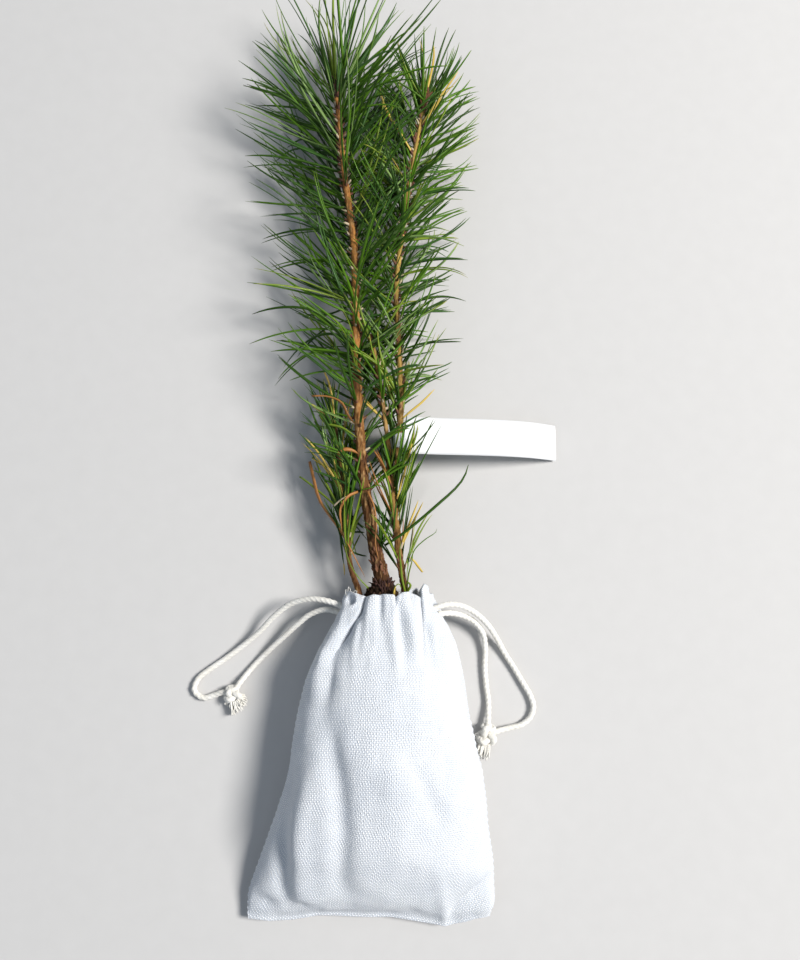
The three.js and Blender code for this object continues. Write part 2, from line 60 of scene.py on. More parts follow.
# The least that a cord's outline reaches between its strands, as a share of its radius.
CORD_HOLLOW = 0.85
CORD_ROUTES = {
    "left_outer": [
        (-13.6, 80.9, 19.6), (-20.5, 83.2, 18.6), (-28.6, 84.1, 16.4), (-37.6, 82, 13),
        (-45.8, 76.4, 9.6), (-53.4, 68.8, 6), (-62.2, 61.7, 3.2), (-70.6, 55.6, 2),
        (-77.4, 51, 1.8), (-82.6, 46.6, 1.8), (-84.2, 41.4, 1.8), (-80, 37.9, 1.8),
        (-74.6, 39.2, 2.1), (-70.4, 40.5, 3.2),
    ],
    "left_inner": [
        (-15.6, 78.2, 16), (-21.6, 79.2, 13.6), (-28.9, 77, 11.4), (-34.8, 72.6, 9),
        (-41.4, 66.8, 6.2), (-48.2, 60.8, 3.6), (-53.8, 55.4, 2), (-58.9, 49.7, 2.1),
        (-63.2, 43.9, 3.6),
    ],
    "right_outer": [
        (30, 80.2, 19.6), (33.4, 81.3, 19.2), (38.8, 81.5, 17.4), (44.4, 79.8, 14.4),
        (50.4, 76, 10.6), (55.4, 70.9, 7), (59.4, 64.8, 4), (63, 58.4, 2.2),
        (67.2, 51.8, 1.8), (71.2, 45, 1.8), (74.8, 38.6, 1.8), (76, 33.6, 1.8),
        (74.4, 29, 1.8), (70.2, 25.6, 1.9), (64.6, 24.2, 2.4), (58.3, 22.8, 3.9),
    ],
    "right_inner": [
        (32.6, 77.4, 15.7), (36.8, 77.6, 13.8), (43, 76.2, 10.8), (48.6, 73, 7.6),
        (52.6, 67.4, 4.6), (53.6, 60, 2.6), (53.3, 52.2, 1.8), (53.9, 43.4, 1.8),
        (54.8, 35.6, 2), (54.3, 26.5, 3.9),
    ],
}
CORD_BITE = 2.4
CORD_TUCK = 2.2
# The knots. Each tuft of frayed yarns has its first and last angle round the knot from the way of the
# tail, how many, the least and most that they reach, how far they open out, their radius and wave.
KNOTS = {
    "left": {
        "at": (-65.6, 39.4, 4), "tail": (-64.4, 29.6, 3.6), "size": 1.0, "wide": 1.12, "long": 0.9,
        "turn": 0.4, "seed": 7, "tufts": [
            (-1.7, 0.1, 50, (3, 5), 0.85, 0.36, 0.5),
            (0.1, 0.42, 14, (5.4, 7.4), 0, 0.46, 0.25),
            (0.5, 1.3, 7, (2, 3.8), 1, 0.28, 0.5),
        ],
    },
    "right": {
        "at": (53.7, 20.8, 4.2), "tail": (51.4, 9.4, 3.8), "size": 1.26, "wide": 0.88, "long": 1.06,
        "turn": 2.0, "seed": 11, "tufts": [
            (-0.5, 0.75, 46, (5, 7.2), 0.4, 0.62, 0.25),
            (0.9, 1.7, 7, (2.4, 4.4), 1, 0.28, 0.5),
        ],
    },
}
KNOT_SIDES = 18
KNOT_DEPTH = 1.55
KNOT_LAY = 6.4
COLLAR_RADIUS = 0.85
COLLAR_LAY = 4.4
YARN_POINTS = 9
YARN_SIDES = 6
# The ways that the sections of yarns and of needles are turned by.
YARN_REFERENCE = (0.13, 0.21, 0.97)
NEEDLE_REFERENCE = (0.11, 0.17, 0.98)

# The bag's sections from its bottom seam to its rim: y, the middle's x, half the width, then the
# heights of its upper face, its side seams and its underside, and how peaked the upper face is.
BAG_STATIONS = np.array([
    (-60, -1, 54.5, 6.6, 5.2, 4, 1),
    (-54, -0.4, 55.2, 14, 5.4, 1, 1.15),
    (-45, 0, 55, 22.5, 6.5, 0, 1.2),
    (-26, 3, 51, 34, 10, 0, 1.1),
    (4, 5.8, 44, 41.5, 15, 0, 1),
    (30, 5.6, 39.3, 41.5, 17, 0, 1),
    (50, 6.6, 35.4, 38.5, 18, 0, 1),
    (64, 8, 30.4, 35.5, 18, 1.6, 1),
    (78, 8.2, 22.6, 32.5, 18, 4, 1),
    (86, 8, 19.4, 31.5, 18, 4.8, 1),
])
BAG_FOOT = -60
RIM = 86
SOIL = 78
FLATNESS = 1.55
BAG_COLUMNS = 320
BAG_STEP = 0.65
CANVAS = 0.9
WARP_PITCH = 0.7
WEFT_PITCH = 0.9
CLOTH_MAP = "cloth"
HEM = 1.5
HEM_POINTS = 6
CASING_FOOT = 71.5
# The inner face follows every fourth row of the outer one, from the rim to above the tenth.
INNER_STEP = 4
INNER_FOOT = 9
# How far the cosine of the angle from the top goes while the upper face gives way to the underside, and
# how far from the rim and the bottom seam the cloth follows their wavy lines.
UPPER_FACE = (-0.12, 0.3)
EDGE_REACH = 9
PLEATS = 10
PLEAT_DEPTH = 2.1
PLEATS_START = 28
PLEATS_TURN = 0.5
FOLD_ROOM = 0.62
# The rows that close the bottom seam: the share of the face's height that each keeps, and how far it
# stands out.
SEAM_LIP = ((0.15, 0.75), (0.5, 0.6), (0.8, 0.35))
# The side seams, which are puckered and fade out towards the casing.
SIDE_SEAM_WIDTH = 0.05
SIDE_SEAM_HEIGHT = 0.35
SIDE_SEAM_END = (60, 72)
PUCKER_HEIGHT = 0.2
PUCKER_LENGTH = 3.1
# The compost: the share of the bag's section that it fills at some places, its mound and its crumbs.
BALL_FOOT = BAG_FOOT + 9
BALL_PLACES = (BAG_FOOT, -30, 42, 58, 72, SOIL)
BALL_SHARES = (0.4, 0.86, 0.84, 0.7, 0.7, 0.76)
BALL_COLUMNS = 96
BALL_ROWS = 60
MOUND_RINGS = 22
MOUND_HEIGHT = 15.5
MOUND_WIDTH = 8
CRUMBS = 520
CRUMB_SEED = 23
CRUMB_RINGS = 20
CRUMB_SIDES = 7
CRUMB_LEVELS = 5

# The folds of the bag's upper face. Each follows points of x, y, depth and width, from the neck down
# where it can. A crease is a sharp valley, broader on its right by the number before its points, with
# the cloth at its left drawn over it. A valley is round, and is a ridge where its depth is below 0.
CREASE_EDGE = 1.25
CREASE_PULL = 0.22
CREASE_PULL_REACH = 2.4
CREASES = [
    (1.2, [(-1.2, 90, 5.4, 0.85), (-4.8, 77.8, 6.6, 0.8), (-7.6, 73.6, 7.2, 0.85),
           (-9.4, 70.2, 7.4, 1.05), (-11.6, 66.4, 6, 1.3), (-14.6, 61.6, 2.2, 2.2), (-19, 54, 0, 4)]),
    (1.5, [(21.2, 88, 5, 0.75), (21.9, 81.3, 5, 0.7), (22.4, 76.9, 4.6, 0.75), (22.9, 69.1, 4, 0.9),
           (23.1, 62, 2.2, 1.4), (23.3, 52, 0, 3)]),
    (1, [(10.9, 90, 2.6, 0.6), (10.9, 84, 2.2, 0.6), (10.9, 80.5, 0, 0.9)]),
    (2.6, [(54.5, -35.5, 0.5, 1.6), (50, -40.2, 2.6, 1.8), (44, -44.8, 3.8, 1.9),
           (38.4, -49, 3.8, 1.8), (35.4, -53.4, 2.8, 1.5), (33.8, -61, 1, 1.2)]),
]
VALLEYS = [
    [(4.2, 90, 1.2, 1.9), (4.5, 78, 1.8, 2.2), (4.8, 70, 1.6, 2.8), (7, 57, 0.6, 4), (8, 46, 0, 4)],
    [(12.4, 82, 0.5, 1.5), (13.2, 75, 1.8, 2.1), (15, 64, 2, 2.8), (18, 48, 0, 4)],
    [(25.4, 78, 0, 2), (25.8, 70, 1.3, 2.4), (28, 56, 1.3, 3.4), (30, 42, 0, 4)],
    [(-9, 84, -0.6, 2), (-12.8, 75, -1.8, 2.3), (-18.4, 63.5, -2.7, 2.6), (-23.6, 52, -2.3, 2.8),
     (-26.4, 38, 0, 4.5)],
    [(-15.6, 58, 0.6, 2.6), (-18.4, 47, 1.8, 3), (-21.6, 33, 0.9, 4.4), (-25, 20, 0, 6)],
    [(17.6, 88, -0.5, 2.2), (18, 78, -0.9, 2.4), (19.4, 66, -0.6, 3), (20.6, 54, 0, 4)],
    [(-33, 16, 0, 4), (-37.5, 2, 1.8, 3.6), (-39.4, -18, 3, 3.8), (-38.8, -40, 3, 4),
     (-37, -51, 0.8, 4)],
    [(-26, 16, 0, 5), (-29, -4, -1.9, 4.6), (-31, -26, -2.2, 4.6), (-30, -46, -0.8, 5)],
    [(-20, 38, 0, 5), (-17, 24, 2, 5), (-13.5, 4, 3, 5), (-12, -15, 3.1, 5), (-12.6, -36, 2.3, 5.2),
     (-11, -49, 0, 5)],
    [(11, 22, 0, 6), (11.5, 4, -1, 7), (12.4, -14, -0.9, 7), (14, -32, 0, 7)],
    [(15, 20, 0, 3), (21, 10, 0.9, 3.4), (28, -4, 1, 4), (33, -20, 0, 5)],
    [(21, 16.6, 0, 1.6), (27, 19, 0.6, 1.7), (33, 20.6, 0, 1.6)],
    [(-54, -49, 0, 4), (-47, -50.5, 1.5, 3.2), (-40, -52, 0.5, 3.6), (-30, -51, 1.6, 3.4),
     (-20, -52.4, 0.4, 4), (-8, -52, 1.2, 3.4), (6, -54, 0.4, 3.6), (18, -55, 1, 3), (28, -58, 0, 3)],
    [(29, -28, 0, 3.4), (31.6, -45, -1.1, 3.4), (33.4, -56, -1.4, 2.8), (34, -63, -0.9, 2.4)],
    [(58, -42, -1.2, 4), (53, -50, -2.8, 5), (46, -60, -1.8, 5)],
]
# Where the rim of each face and the bottom seam stand off their plain lines: x, then y.
FRONT_RIM = [(-14, 86), (-11.1, 87.2), (-8.6, 86.9), (-5.4, 85.2), (-3.2, 84.4), (-1, 84.8), (1, 85.5),
             (3.4, 85.1), (5.4, 85.6), (8, 85.5), (10, 85.4), (10.9, 83.8), (12, 84.9), (14.2, 86.4),
             (17, 86.6), (19.4, 85.4), (21.4, 84), (22.9, 87.8), (24.9, 90.3), (27, 89), (28.6, 86)]
BACK_RIM = [(-12, 86.4), (-7, 85.2), (0, 86.6), (6, 85.4), (12, 86.2), (17, 87.4), (20.5, 88.6), (24, 87),
            (28, 85.4)]
BOTTOM_SEAM = [(-56, -58.4), (-46, -59.6), (-35.5, -59), (-24, -57.2), (-17, -57.3), (-5.5, -57.8),
               (9.4, -57.9), (24.3, -60.4), (33.3, -61.8), (41.4, -59.9), (47.3, -57.8), (54, -57.4)]
# Threads that have come loose from the rim.
RIM_THREADS = [
    [(-10.9, 85.8, 22.6), (-10.5, 88.5, 24.6), (-10.2, 89.6, 25)],
    [(-10, 85.6, 22.6), (-9.4, 88, 24.6), (-9.8, 89.1, 25)],
    [(-8.7, 85, 23), (-7.8, 87.5, 24.6), (-7, 87.9, 25)],
    [(-11.2, 84.8, 22.4), (-11.7, 87.4, 24.6), (-11.4, 88.3, 25)],
    [(-7.7, 85, 23), (-6.6, 86.9, 24.6), (-6.5, 87.8, 25)],
    [(12.4, 84.2, 28), (12.9, 86.1, 29.6), (12.6, 87.2, 30)],
]
THREAD_RADIUS = 0.16
# Where the cords come out of the casing, and the casing's open end at the left: x, y, z, radius, depth.
DENTS = [(-12.4, 79.4, 18.4, 3, 2.6), (28.4, 78.9, 18, 3, 2.6), (-9.2, 83.6, 25.6, 2.2, 2.8)]

# The stems' routes, each from its foot to its tip.
TRUNK_ROUTE = [(5.6, SOIL, 18), (5.2, 90, 20), (0.9, 110.6, 22), (-2.6, 131, 23), (-5, 152, 23),
               (-7.2, 188, 23), (-8, 222, 23.5), (-8.9, 251, 24), (-13.8, 288.6, 24), (-17.4, 322, 24),
               (-18.8, 340, 24)]
RIGHT_ROUTE = [(16.6, SOIL, 17.5), (15, 90, 19.5), (12.2, 108, 21.5), (10.3, 137, 22), (12.4, 156, 22),
               (13.4, 172, 22), (12.8, 200, 22), (11.3, 232, 22), (13.8, 257, 22.5), (19, 292, 23),
               (26.5, 334, 23)]
MIDDLE_ROUTE = [(7.5, 141.5, 22), (8, 149, 22.3), (7, 160, 23), (5.1, 175, 24), (1.7, 196, 25),
                (-0.3, 206, 25)]
LEFT_ROUTE = [(-3.6, SOIL, 16), (-6.2, 88, 17), (-10.3, 101, 18), (-11.4, 115, 18), (-12.6, 131, 18),
              (-17.4, 165, 17.5)]
# Where the middle bough grows out of the right stem.
MIDDLE_FORK = [(10.6, 134, 22), (9.2, 138, 22)]

# The tag's strip in x and z, from its free end on the table up to the right stem.
TAG_Y = 160
TAG_TAIL_Y = 157.5
TAG_STRIP = [(89.6, 1.6), (83, 6.4), (74.5, 11.2), (63, 15.2), (48, 18.2), (33, 20.2), (21.4, 22.4)]
TAG_WIDTH = 17.6
TAG_TAIL_WIDTH = 7
TAG_THICKNESS = 0.6
TAG_NECK = (14.4, 16.2)
TAG_LOOP_SHARE = 0.31
TAG_LOOP_RADIUS = 3.3
TAG_GAP = 0.3
TAG_ROWS = 150
TAG_COLUMNS = 9
TAG_STRIP_SHARE = 0.8
TAG_ROUNDING = 0.06


# Shapes

def unit(vectors):
    return vectors / np.linalg.norm(vectors, axis=-1, keepdims=True)


def hermite(t, start, leave, end, arrive):
    """A cubic curve from start to end, by how it leaves and arrives."""
    return (start * (2 * t**3 - 3 * t**2 + 1) + leave * (t**3 - 2 * t**2 + t)
            + end * (3 * t**2 - 2 * t**3) + arrive * (t**3 - t**2))


def smooth_line(points, per_span=48):
    """A centripetal curve through the points, as the solids have it."""
    p = np.array(points, float)
    p = np.vstack([2 * p[0] - p[1], p, 2 * p[-1] - p[-2]])
    t = np.linspace(0, 1, per_span, endpoint=False)[:, None]
    spans = []
    for before, start, end, after in zip(p, p[1:], p[2:], p[3:]):
        d0, d1, d2 = (np.linalg.norm(step) ** 0.5 for step in (start - before, end - start, after - end))
        leave = d1 * ((start - before) / d0 - (end - before) / (d0 + d1)) + (end - start)
        arrive = (end - start) - d1 * ((after - start) / (d1 + d2) - (after - end) / d2)
        spans.append(hermite(t, start, leave, end, arrive))
    return np.vstack([*spans, p[-2:-1]])


class Route:
    """A smooth line that is read by the share of its length."""

    def __init__(self, points):
        self.line = smooth_line(points)
        steps = np.linalg.norm(np.diff(self.line, axis=0), axis=1)
        self.run = np.concatenate([[0], np.cumsum(steps)])
        self.length = self.run[-1]
        self.ways = unit(np.gradient(self.line, self.run, axis=0))

    def read(self, rows, share):
        along = np.asarray(share) * self.length
        return np.stack([np.interp(along, self.run, rows[:, k]) for k in range(3)], -1)

    def at(self, share):
        return self.read(self.line, share)

    def frame(self, share):
        """Centre, the way ahead, the way right and the way up, at each share."""
        ahead = unit(self.read(self.ways, share))
        right = unit(np.cross(ahead, (0, 0, 1)))
        return self.at(share), ahead, right, np.cross(right, ahead)


def ripples(points, wavelength, seed, waves=16):
    """Smooth noise, mostly within 1 of 0, whose swells are about a wavelength long."""
    dice = np.random.default_rng(seed)
    ways = unit(dice.normal(size=(waves, points.shape[-1])))
    ways *= TURN / (wavelength * dice.uniform(0.7, 1.6, (waves, 1)))
    return np.sin(points @ ways.T + dice.uniform(0, TURN, waves)).sum(-1) * (0.9 / waves**0.5)


def swell(x, low, high):
    t = np.clip((x - low) / (high - low), 0, 1)
    return t * t * (3 - 2 * t)


def grid_faces(rows, columns, closed=True):
    """Four-sided faces of a grid of points, joined round each row where it is closed."""
    i = np.arange(rows - 1)[:, None] * columns
    j = np.arange(columns if closed else columns - 1)[None, :]
    k = (j + 1) % columns
    return np.stack([i + j, i + k, i + columns + k, i + columns + j], -1).reshape(-1, 4)


class Skin:
    """The points and faces of one piece. A face's kind is the number of its material."""

    def __init__(self):
        self.points, self.faces, self.kinds, self.count = [], [], [], 0

    def add(self, points, *blocks, kind=0):
        for block in blocks:
            self.faces.append(np.asarray(block) + self.count)
            self.kinds.append(np.broadcast_to(kind, len(block)))
        self.points.append(np.reshape(points, (-1, 3)))
        self.count += len(self.points[-1])

    def tubes(self, rings, span_kinds=0):
        """Closed tubes, from an array by tube, ring, point round and coordinate."""
        many, rows, sides = rings.shape[:3]
        starts = (np.arange(many) * rows * sides)[:, None, None]
        walls = grid_faces(rows, sides)[None] + starts
        ends = np.stack([np.arange(sides)[::-1], np.arange(sides) + (rows - 1) * sides])[None] + starts
        kinds = np.broadcast_to(span_kinds, (many, rows - 1))
        self.add(rings, walls.reshape(-1, 4), kind=np.repeat(kinds, sides, axis=1).ravel())
        self.faces.append(ends.reshape(-1, sides) + self.count - many * rows * sides)
        self.kinds.append(np.stack([kinds[:, 0], kinds[:, -1]], 1).ravel())

    def piece(self, name, materials, nodes=(), corner_map=None):
        """The finished object, riding on the body, in metres."""
        mesh = bpy.data.meshes.new(name)
        points = np.concatenate(self.points) * MM
        mesh.vertices.add(len(points))
        mesh.vertices.foreach_set("co", points.astype(np.float32).ravel())
        corners = np.concatenate([block.ravel() for block in self.faces])
        sizes = np.concatenate([np.full(len(block), block.shape[1]) for block in self.faces])
        mesh.loops.add(len(corners))
        mesh.loops.foreach_set("vertex_index", corners.astype(np.int32))
        mesh.polygons.add(len(sizes))
        mesh.polygons.foreach_set("loop_start", (np.cumsum(sizes) - sizes).astype(np.int32))
        mesh.polygons.foreach_set("material_index", np.concatenate(self.kinds).astype(np.int32))
        mesh.polygons.foreach_set("use_smooth", np.ones(len(sizes), bool))
        if corner_map is not None:
            layer = mesh.uv_layers.new(name=CLOTH_MAP)
            layer.uv.foreach_set("vector", corner_map(corners, sizes).astype(np.float32).ravel())
        mesh.update(calc_edges=True)
        mesh.validate()
        for material in materials:
            mesh.materials.append(material)
        made = bpy.data.objects.new(name, mesh)
        bpy.context.scene.collection.objects.link(made)
        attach(made, BODY)
        if nodes:
            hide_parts(*nodes)
        return made


def rings_round(lines, profile, reference=(0, 0, 1)):
    """Sections square to each line. The profile holds the ways right and up of each point round."""
    ahead = unit(np.gradient(lines, axis=-2))
    right = unit(np.cross(ahead, reference))
    up = np.cross(right, ahead)
    return (lines[..., None, :] + profile[..., :1] * right[..., None, :]
            + profile[..., 1:] * up[..., None, :])


def angles_round(many):
    return np.arange(many) / many * TURN


def circle(sides):
    angles = angles_round(sides)
    return np.stack([np.sin(angles), np.cos(angles)], -1)


def outward(right, up, turn):
    """The way out of a line at each turn from its top towards its right."""
    return np.cos(turn)[..., None] * up + np.sin(turn)[..., None] * right


# Materials

class Shader:
    """A material whose nodes are added by short calls. A number goes straight to its socket."""

    def __init__(self, name, colour=(1, 1, 1), roughness=0.8, **constants):
        self.material = bpy.data.materials.new(name)
        self.material.use_nodes = True
        self.tree = self.material.node_tree
        self.surface = self.tree.nodes["Principled BSDF"]
        self.surface.inputs["Base Color"].default_value = (*colour, 1)
        self.surface.inputs["Roughness"].default_value = roughness
        for socket, value in constants.items():
            self.surface.inputs[socket.replace("_", " ")].default_value = value

    def put(self, socket, value):
        if isinstance(value, bpy.types.NodeSocket):
            self.tree.links.new(value, socket)
        elif isinstance(value, tuple) and len(value) == 3 and socket.type == "RGBA":
            socket.default_value = (*value, 1)
        elif value is not None:
            socket.default_value = value

    def node(self, kind, output=0, inputs=(), **settings):
        made = self.tree.nodes.new("ShaderNode" + kind)
        for name, value in settings.items():
            setattr(made, name, value)
        for key, value in dict(inputs).items():
            self.put(made.inputs[key], value)
        return made.outputs[output]

    def math(self, operation, a, b=None):
        return self.node("Math", inputs={0: a, 1: b}, operation=operation)

    def plus(self, a, b):
        return self.math("ADD", a, b)

    def times(self, a, b):
        return self.math("MULTIPLY", a, b)

    def noise(self, coordinates, scale, detail=2.0, roughness=0.5):
        return self.node("TexNoise", "Fac", {
            "Vector": coordinates, "Scale": scale, "Detail": detail, "Roughness": roughness})

    def stretched(self, coordinates, scale):
        return self.node("Mapping", inputs={"Vector": coordinates, "Scale": scale})

    def split(self, coordinates):
        """The x, y and z of the coordinates."""
        made = self.tree.nodes.new("ShaderNodeSeparateXYZ")
        self.put(made.inputs[0], coordinates)
        return tuple(made.outputs)

    def ramp(self, value, *stops):
        made = self.tree.nodes.new("ShaderNodeValToRGB")
        while len(made.color_ramp.elements) < len(stops):
            made.color_ramp.elements.new(0.5)
        for element, (place, colour) in zip(made.color_ramp.elements, stops):
            element.position = place
            element.color = (*colour, 1)
        self.put(made.inputs["Fac"], value)
        return made.outputs["Color"]

    def between(self, value, low, high, to_low=0.0, to_high=1.0):
        return self.node("MapRange", inputs={
            "Value": value, "From Min": low, "From Max": high, "To Min": to_low, "To Max": to_high})

    def mix(self, factor, a, b, blend="MIX"):
        return self.node("Mix", 2, {"Factor": factor, 6: a, 7: b}, data_type="RGBA", blend_type=blend)

    def colour(self, value):
        self.put(self.surface.inputs["Base Color"], value)

    def relief(self, height, distance, strength):
        bump = self.node("Bump", inputs={"Height": height, "Distance": distance, "Strength": strength})
        self.put(self.surface.inputs["Normal"], bump)

    def places(self):
        return self.node("TexCoord", "Object")

    def cloth_map(self):
        return self.node("UVMap", uv_map=CLOTH_MAP)


def canvas_material():
    """Plain-woven cotton canvas: staggered floats of yarn, painted darker and bluer down in their hollows
    and pinholes as painted shade, with slubs and a few flecks.
    """
    cloth = Shader("canvas", roughness=0.92, Specular_IOR_Level=0.25, Sheen_Weight=0.18)
    places = cloth.cloth_map()
    wander = cloth.noise(places, 0.11, 1)
    across, along, _ = cloth.split(places)
    across = cloth.plus(across, cloth.times(wander, 2.4))
    along = cloth.plus(along, cloth.times(wander, 1.8))
    warp_wave = cloth.math("SINE", cloth.times(across, math.pi / WARP_PITCH))
    weft_wave = cloth.math("SINE", cloth.times(along, math.pi / WEFT_PITCH))
    weave = cloth.times(warp_wave, weft_wave)
    weft_float = cloth.math("POWER", cloth.math("MAXIMUM", weave, 0.0), 0.6)
    under = cloth.math("MAXIMUM", cloth.times(weave, -1.0), 0.0)
    warp_float = cloth.times(cloth.math("POWER", under, 0.6), 0.3)
    weft_slub = cloth.noise(cloth.stretched(places, (0.16, 1.1, 1)), 1.0, 2)
    warp_slub = cloth.noise(cloth.stretched(places, (1.4, 0.12, 1)), 1.0, 2)
    slub = cloth.plus(weft_slub, warp_slub)
    floats = cloth.math("MAXIMUM", weft_float, warp_float)
    height = cloth.times(floats, cloth.between(slub, 0.7, 1.3, 0.6, 1.3))
    fuzz = cloth.noise(places, 3.2, 3, 0.7)
    fuzzy = cloth.plus(height, cloth.times(cloth.math("SUBTRACT", fuzz, 0.5), 0.35))
    # Painted shade: the yarn's colour follows the weave's height, dark and bluish in the hollows and
    # pinholes, white on the crests.
    pinhole_shade, thread, crest = (0.56, 0.60, 0.66), (0.83, 0.845, 0.865), (0.95, 0.95, 0.95)
    yarn = cloth.ramp(fuzzy, (0.05, pinhole_shade), (0.45, thread), (0.85, crest))
    cloudy = cloth.noise(places, 0.045, 3)
    tinted = cloth.mix(cloth.between(cloudy, 0.38, 0.66), yarn, (0.93, 0.94, 0.955), "MULTIPLY")
    fleck = cloth.between(cloth.noise(places, 0.55, 1), 0.765, 0.80)
    cloth.colour(cloth.mix(fleck, tinted, (0.52, 0.49, 0.45)))
    raised = cloth.plus(height, cloth.times(fuzz, 0.4))
    cloth.relief(raised, 0.42 * MM, 0.9)
    return cloth.material


def cotton_material():
    """Soft cotton yarn, off-white, with fine fibres along each strand."""
    cotton = Shader("cotton", roughness=0.95, Specular_IOR_Level=0.2, Sheen_Weight=0.3)
    places = cotton.places()
    fibres = cotton.noise(places, 2600, 3, 0.65)
    patches = cotton.noise(places, 160, 2)
    pale = cotton.mix(cotton.between(patches, 0.35, 0.68), (0.80, 0.775, 0.71), (0.86, 0.85, 0.81))
    cotton.colour(cotton.mix(cotton.between(fibres, 0.3, 0.62), (0.60, 0.565, 0.50), pale))
    cotton.relief(fibres, 0.3 * MM, 0.6)
    return cotton.material


def compost_material():
    compost = Shader("compost", roughness=1.0, Specular_IOR_Level=0.15)
    places = compost.places()
    crumbs = compost.noise(places, 900, 4, 0.7)
    compost.colour(compost.ramp(crumbs, (0.3, (0.006, 0.004, 0.003)), (0.5, (0.03, 0.017, 0.010)),
                                (0.72, (0.10, 0.055, 0.03))))
    compost.relief(crumbs, 0.5 * MM, 0.9)
    return compost.material


def bark_material(name, stops):
    """Bark whose colour changes up the stem, with painted shade in its furrows, dark blotches that are
    partly bark colour and partly painted shade, pale flakes that are partly painted highlight, and fine
    fibres.
    """
    bark = Shader(name, roughness=0.85, Specular_IOR_Level=0.16)
    places = bark.places()
    _, height, _ = bark.split(places)
    fibres = bark.noise(bark.stretched(places, (1100, 190, 1100)), 1.0, 4, 0.65)
    flakes = bark.noise(bark.stretched(places, (420, 150, 420)), 1.0, 3, 0.6)
    foot, top = stops[0][0], stops[-1][0]
    rise = bark.between(height, foot * MM, top * MM)
    shift = bark.plus(rise, bark.times(bark.math("SUBTRACT", flakes, 0.5), 0.3))
    base = bark.ramp(shift, *[((y - foot) / (top - foot), colour) for y, colour in stops])
    # Dark blotches at random places: partly the bark's own colour, partly painted shade.
    blotches = bark.noise(bark.stretched(places, (260, 110, 260)), 1.0, 3, 0.6)
    blotched = bark.mix(bark.between(blotches, 0.36, 0.5, 0.7, 0.0), base, (0.060, 0.026, 0.014))
    # Painted shade in the furrows: darker where the fibres' relief is low.
    dark = bark.mix(bark.between(fibres, 0.32, 0.5), (0.32, 0.26, 0.23), (1, 1, 1))
    # Pale flakes: partly the bark's own colour, partly a painted highlight on the raised flakes.
    pale = bark.mix(bark.between(flakes, 0.53, 0.66, 0.0, 0.75), blotched, (0.44, 0.265, 0.11))
    bark.colour(bark.mix(1.0, pale, dark, "MULTIPLY"))
    bark.relief(bark.plus(fibres, flakes), 0.28 * MM, 0.9)
    return bark.material


def needle_shader(name, colour, roughness=0.42):
    """Waxy needle: a plain base colour, so that sprays differ by their pieces."""
    return Shader(name, colour, roughness, Specular_IOR_Level=0.2, Coat_Weight=0.02).material


def tag_material():
    """Matt white plastic with the faint grain of a moulded sheet."""
    tag = Shader("tag_plastic", roughness=0.38, Specular_IOR_Level=0.45)
    places = tag.places()
    grain = tag.noise(places, 900, 3)
    cloud = tag.noise(places, 60, 2)
    tag.colour(tag.mix(tag.between(cloud, 0.3, 0.7), (0.73, 0.74, 0.75), (0.77, 0.77, 0.77)))
    tag.relief(grain, 0.05 * MM, 0.35)
    return tag.material


def floor_material():
    floor = Shader("pale_floor", roughness=0.85, Specular_IOR_Level=0.2)
    grain = floor.noise(floor.places(), 120, 4)
    floor.colour(floor.mix(grain, (0.52, 0.51, 0.50), (0.55, 0.54, 0.53)))
    return floor.material


# The camera

def add_camera():
    camera = bpy.data.objects.new("camera", bpy.data.cameras.new("camera"))
    camera.data.lens = CAMERA_LENS
    camera.data.sensor_width = CAMERA_SENSOR
    camera.data.clip_start = 0.01
    camera.location = [c * MM for c in CAMERA_AT]
    camera.rotation_euler = (CAMERA_TIP, 0, 0)
    bpy.context.scene.collection.objects.link(camera)
    bpy.context.scene.camera = camera


# The drawcords and their knots

def twist_profile(line, radius, lay=CORD_LAY, sides=CORD_SIDES, start=0.0):
    """Sections of a cord of twisted round strands, at each point of the line."""
    run = np.concatenate([[0], np.cumsum(np.linalg.norm(np.diff(line, axis=0), axis=1))])
    wedge = math.pi / CORD_STRANDS
    strand = 1 / (1 + 1 / math.sin(wedge))
    off = 1 - strand
    turned = angles_round(sides)[None, :] - run[:, None] / lay * TURN + start
    lobe = (turned + wedge) % (TURN / CORD_STRANDS) - wedge
    reach = off * np.cos(lobe) + np.sqrt(np.maximum(strand**2 - (off * np.sin(lobe)) ** 2, 0))
    reach = np.maximum(reach, CORD_HOLLOW) * radius
    return reach[..., None] * circle(sides)


def even_line(points, step):
    route = Route(points)
    return route.at(np.linspace(0, 1, round(route.length / step) + 1))


def closed_cord(skin, line, radius, lay, reference):
    """A cord in a closed loop, whose ends overlap while its sections are worked out."""
    closed = np.vstack([line[-4:], line, line[:5]])
    profile = twist_profile(closed, CORD_DIAMETER / 2 * radius, lay=lay, sides=KNOT_SIDES)
    rings = rings_round(closed, profile, reference)[4:-4]
    skin.add(rings, grid_faces(len(rings), KNOT_SIDES))


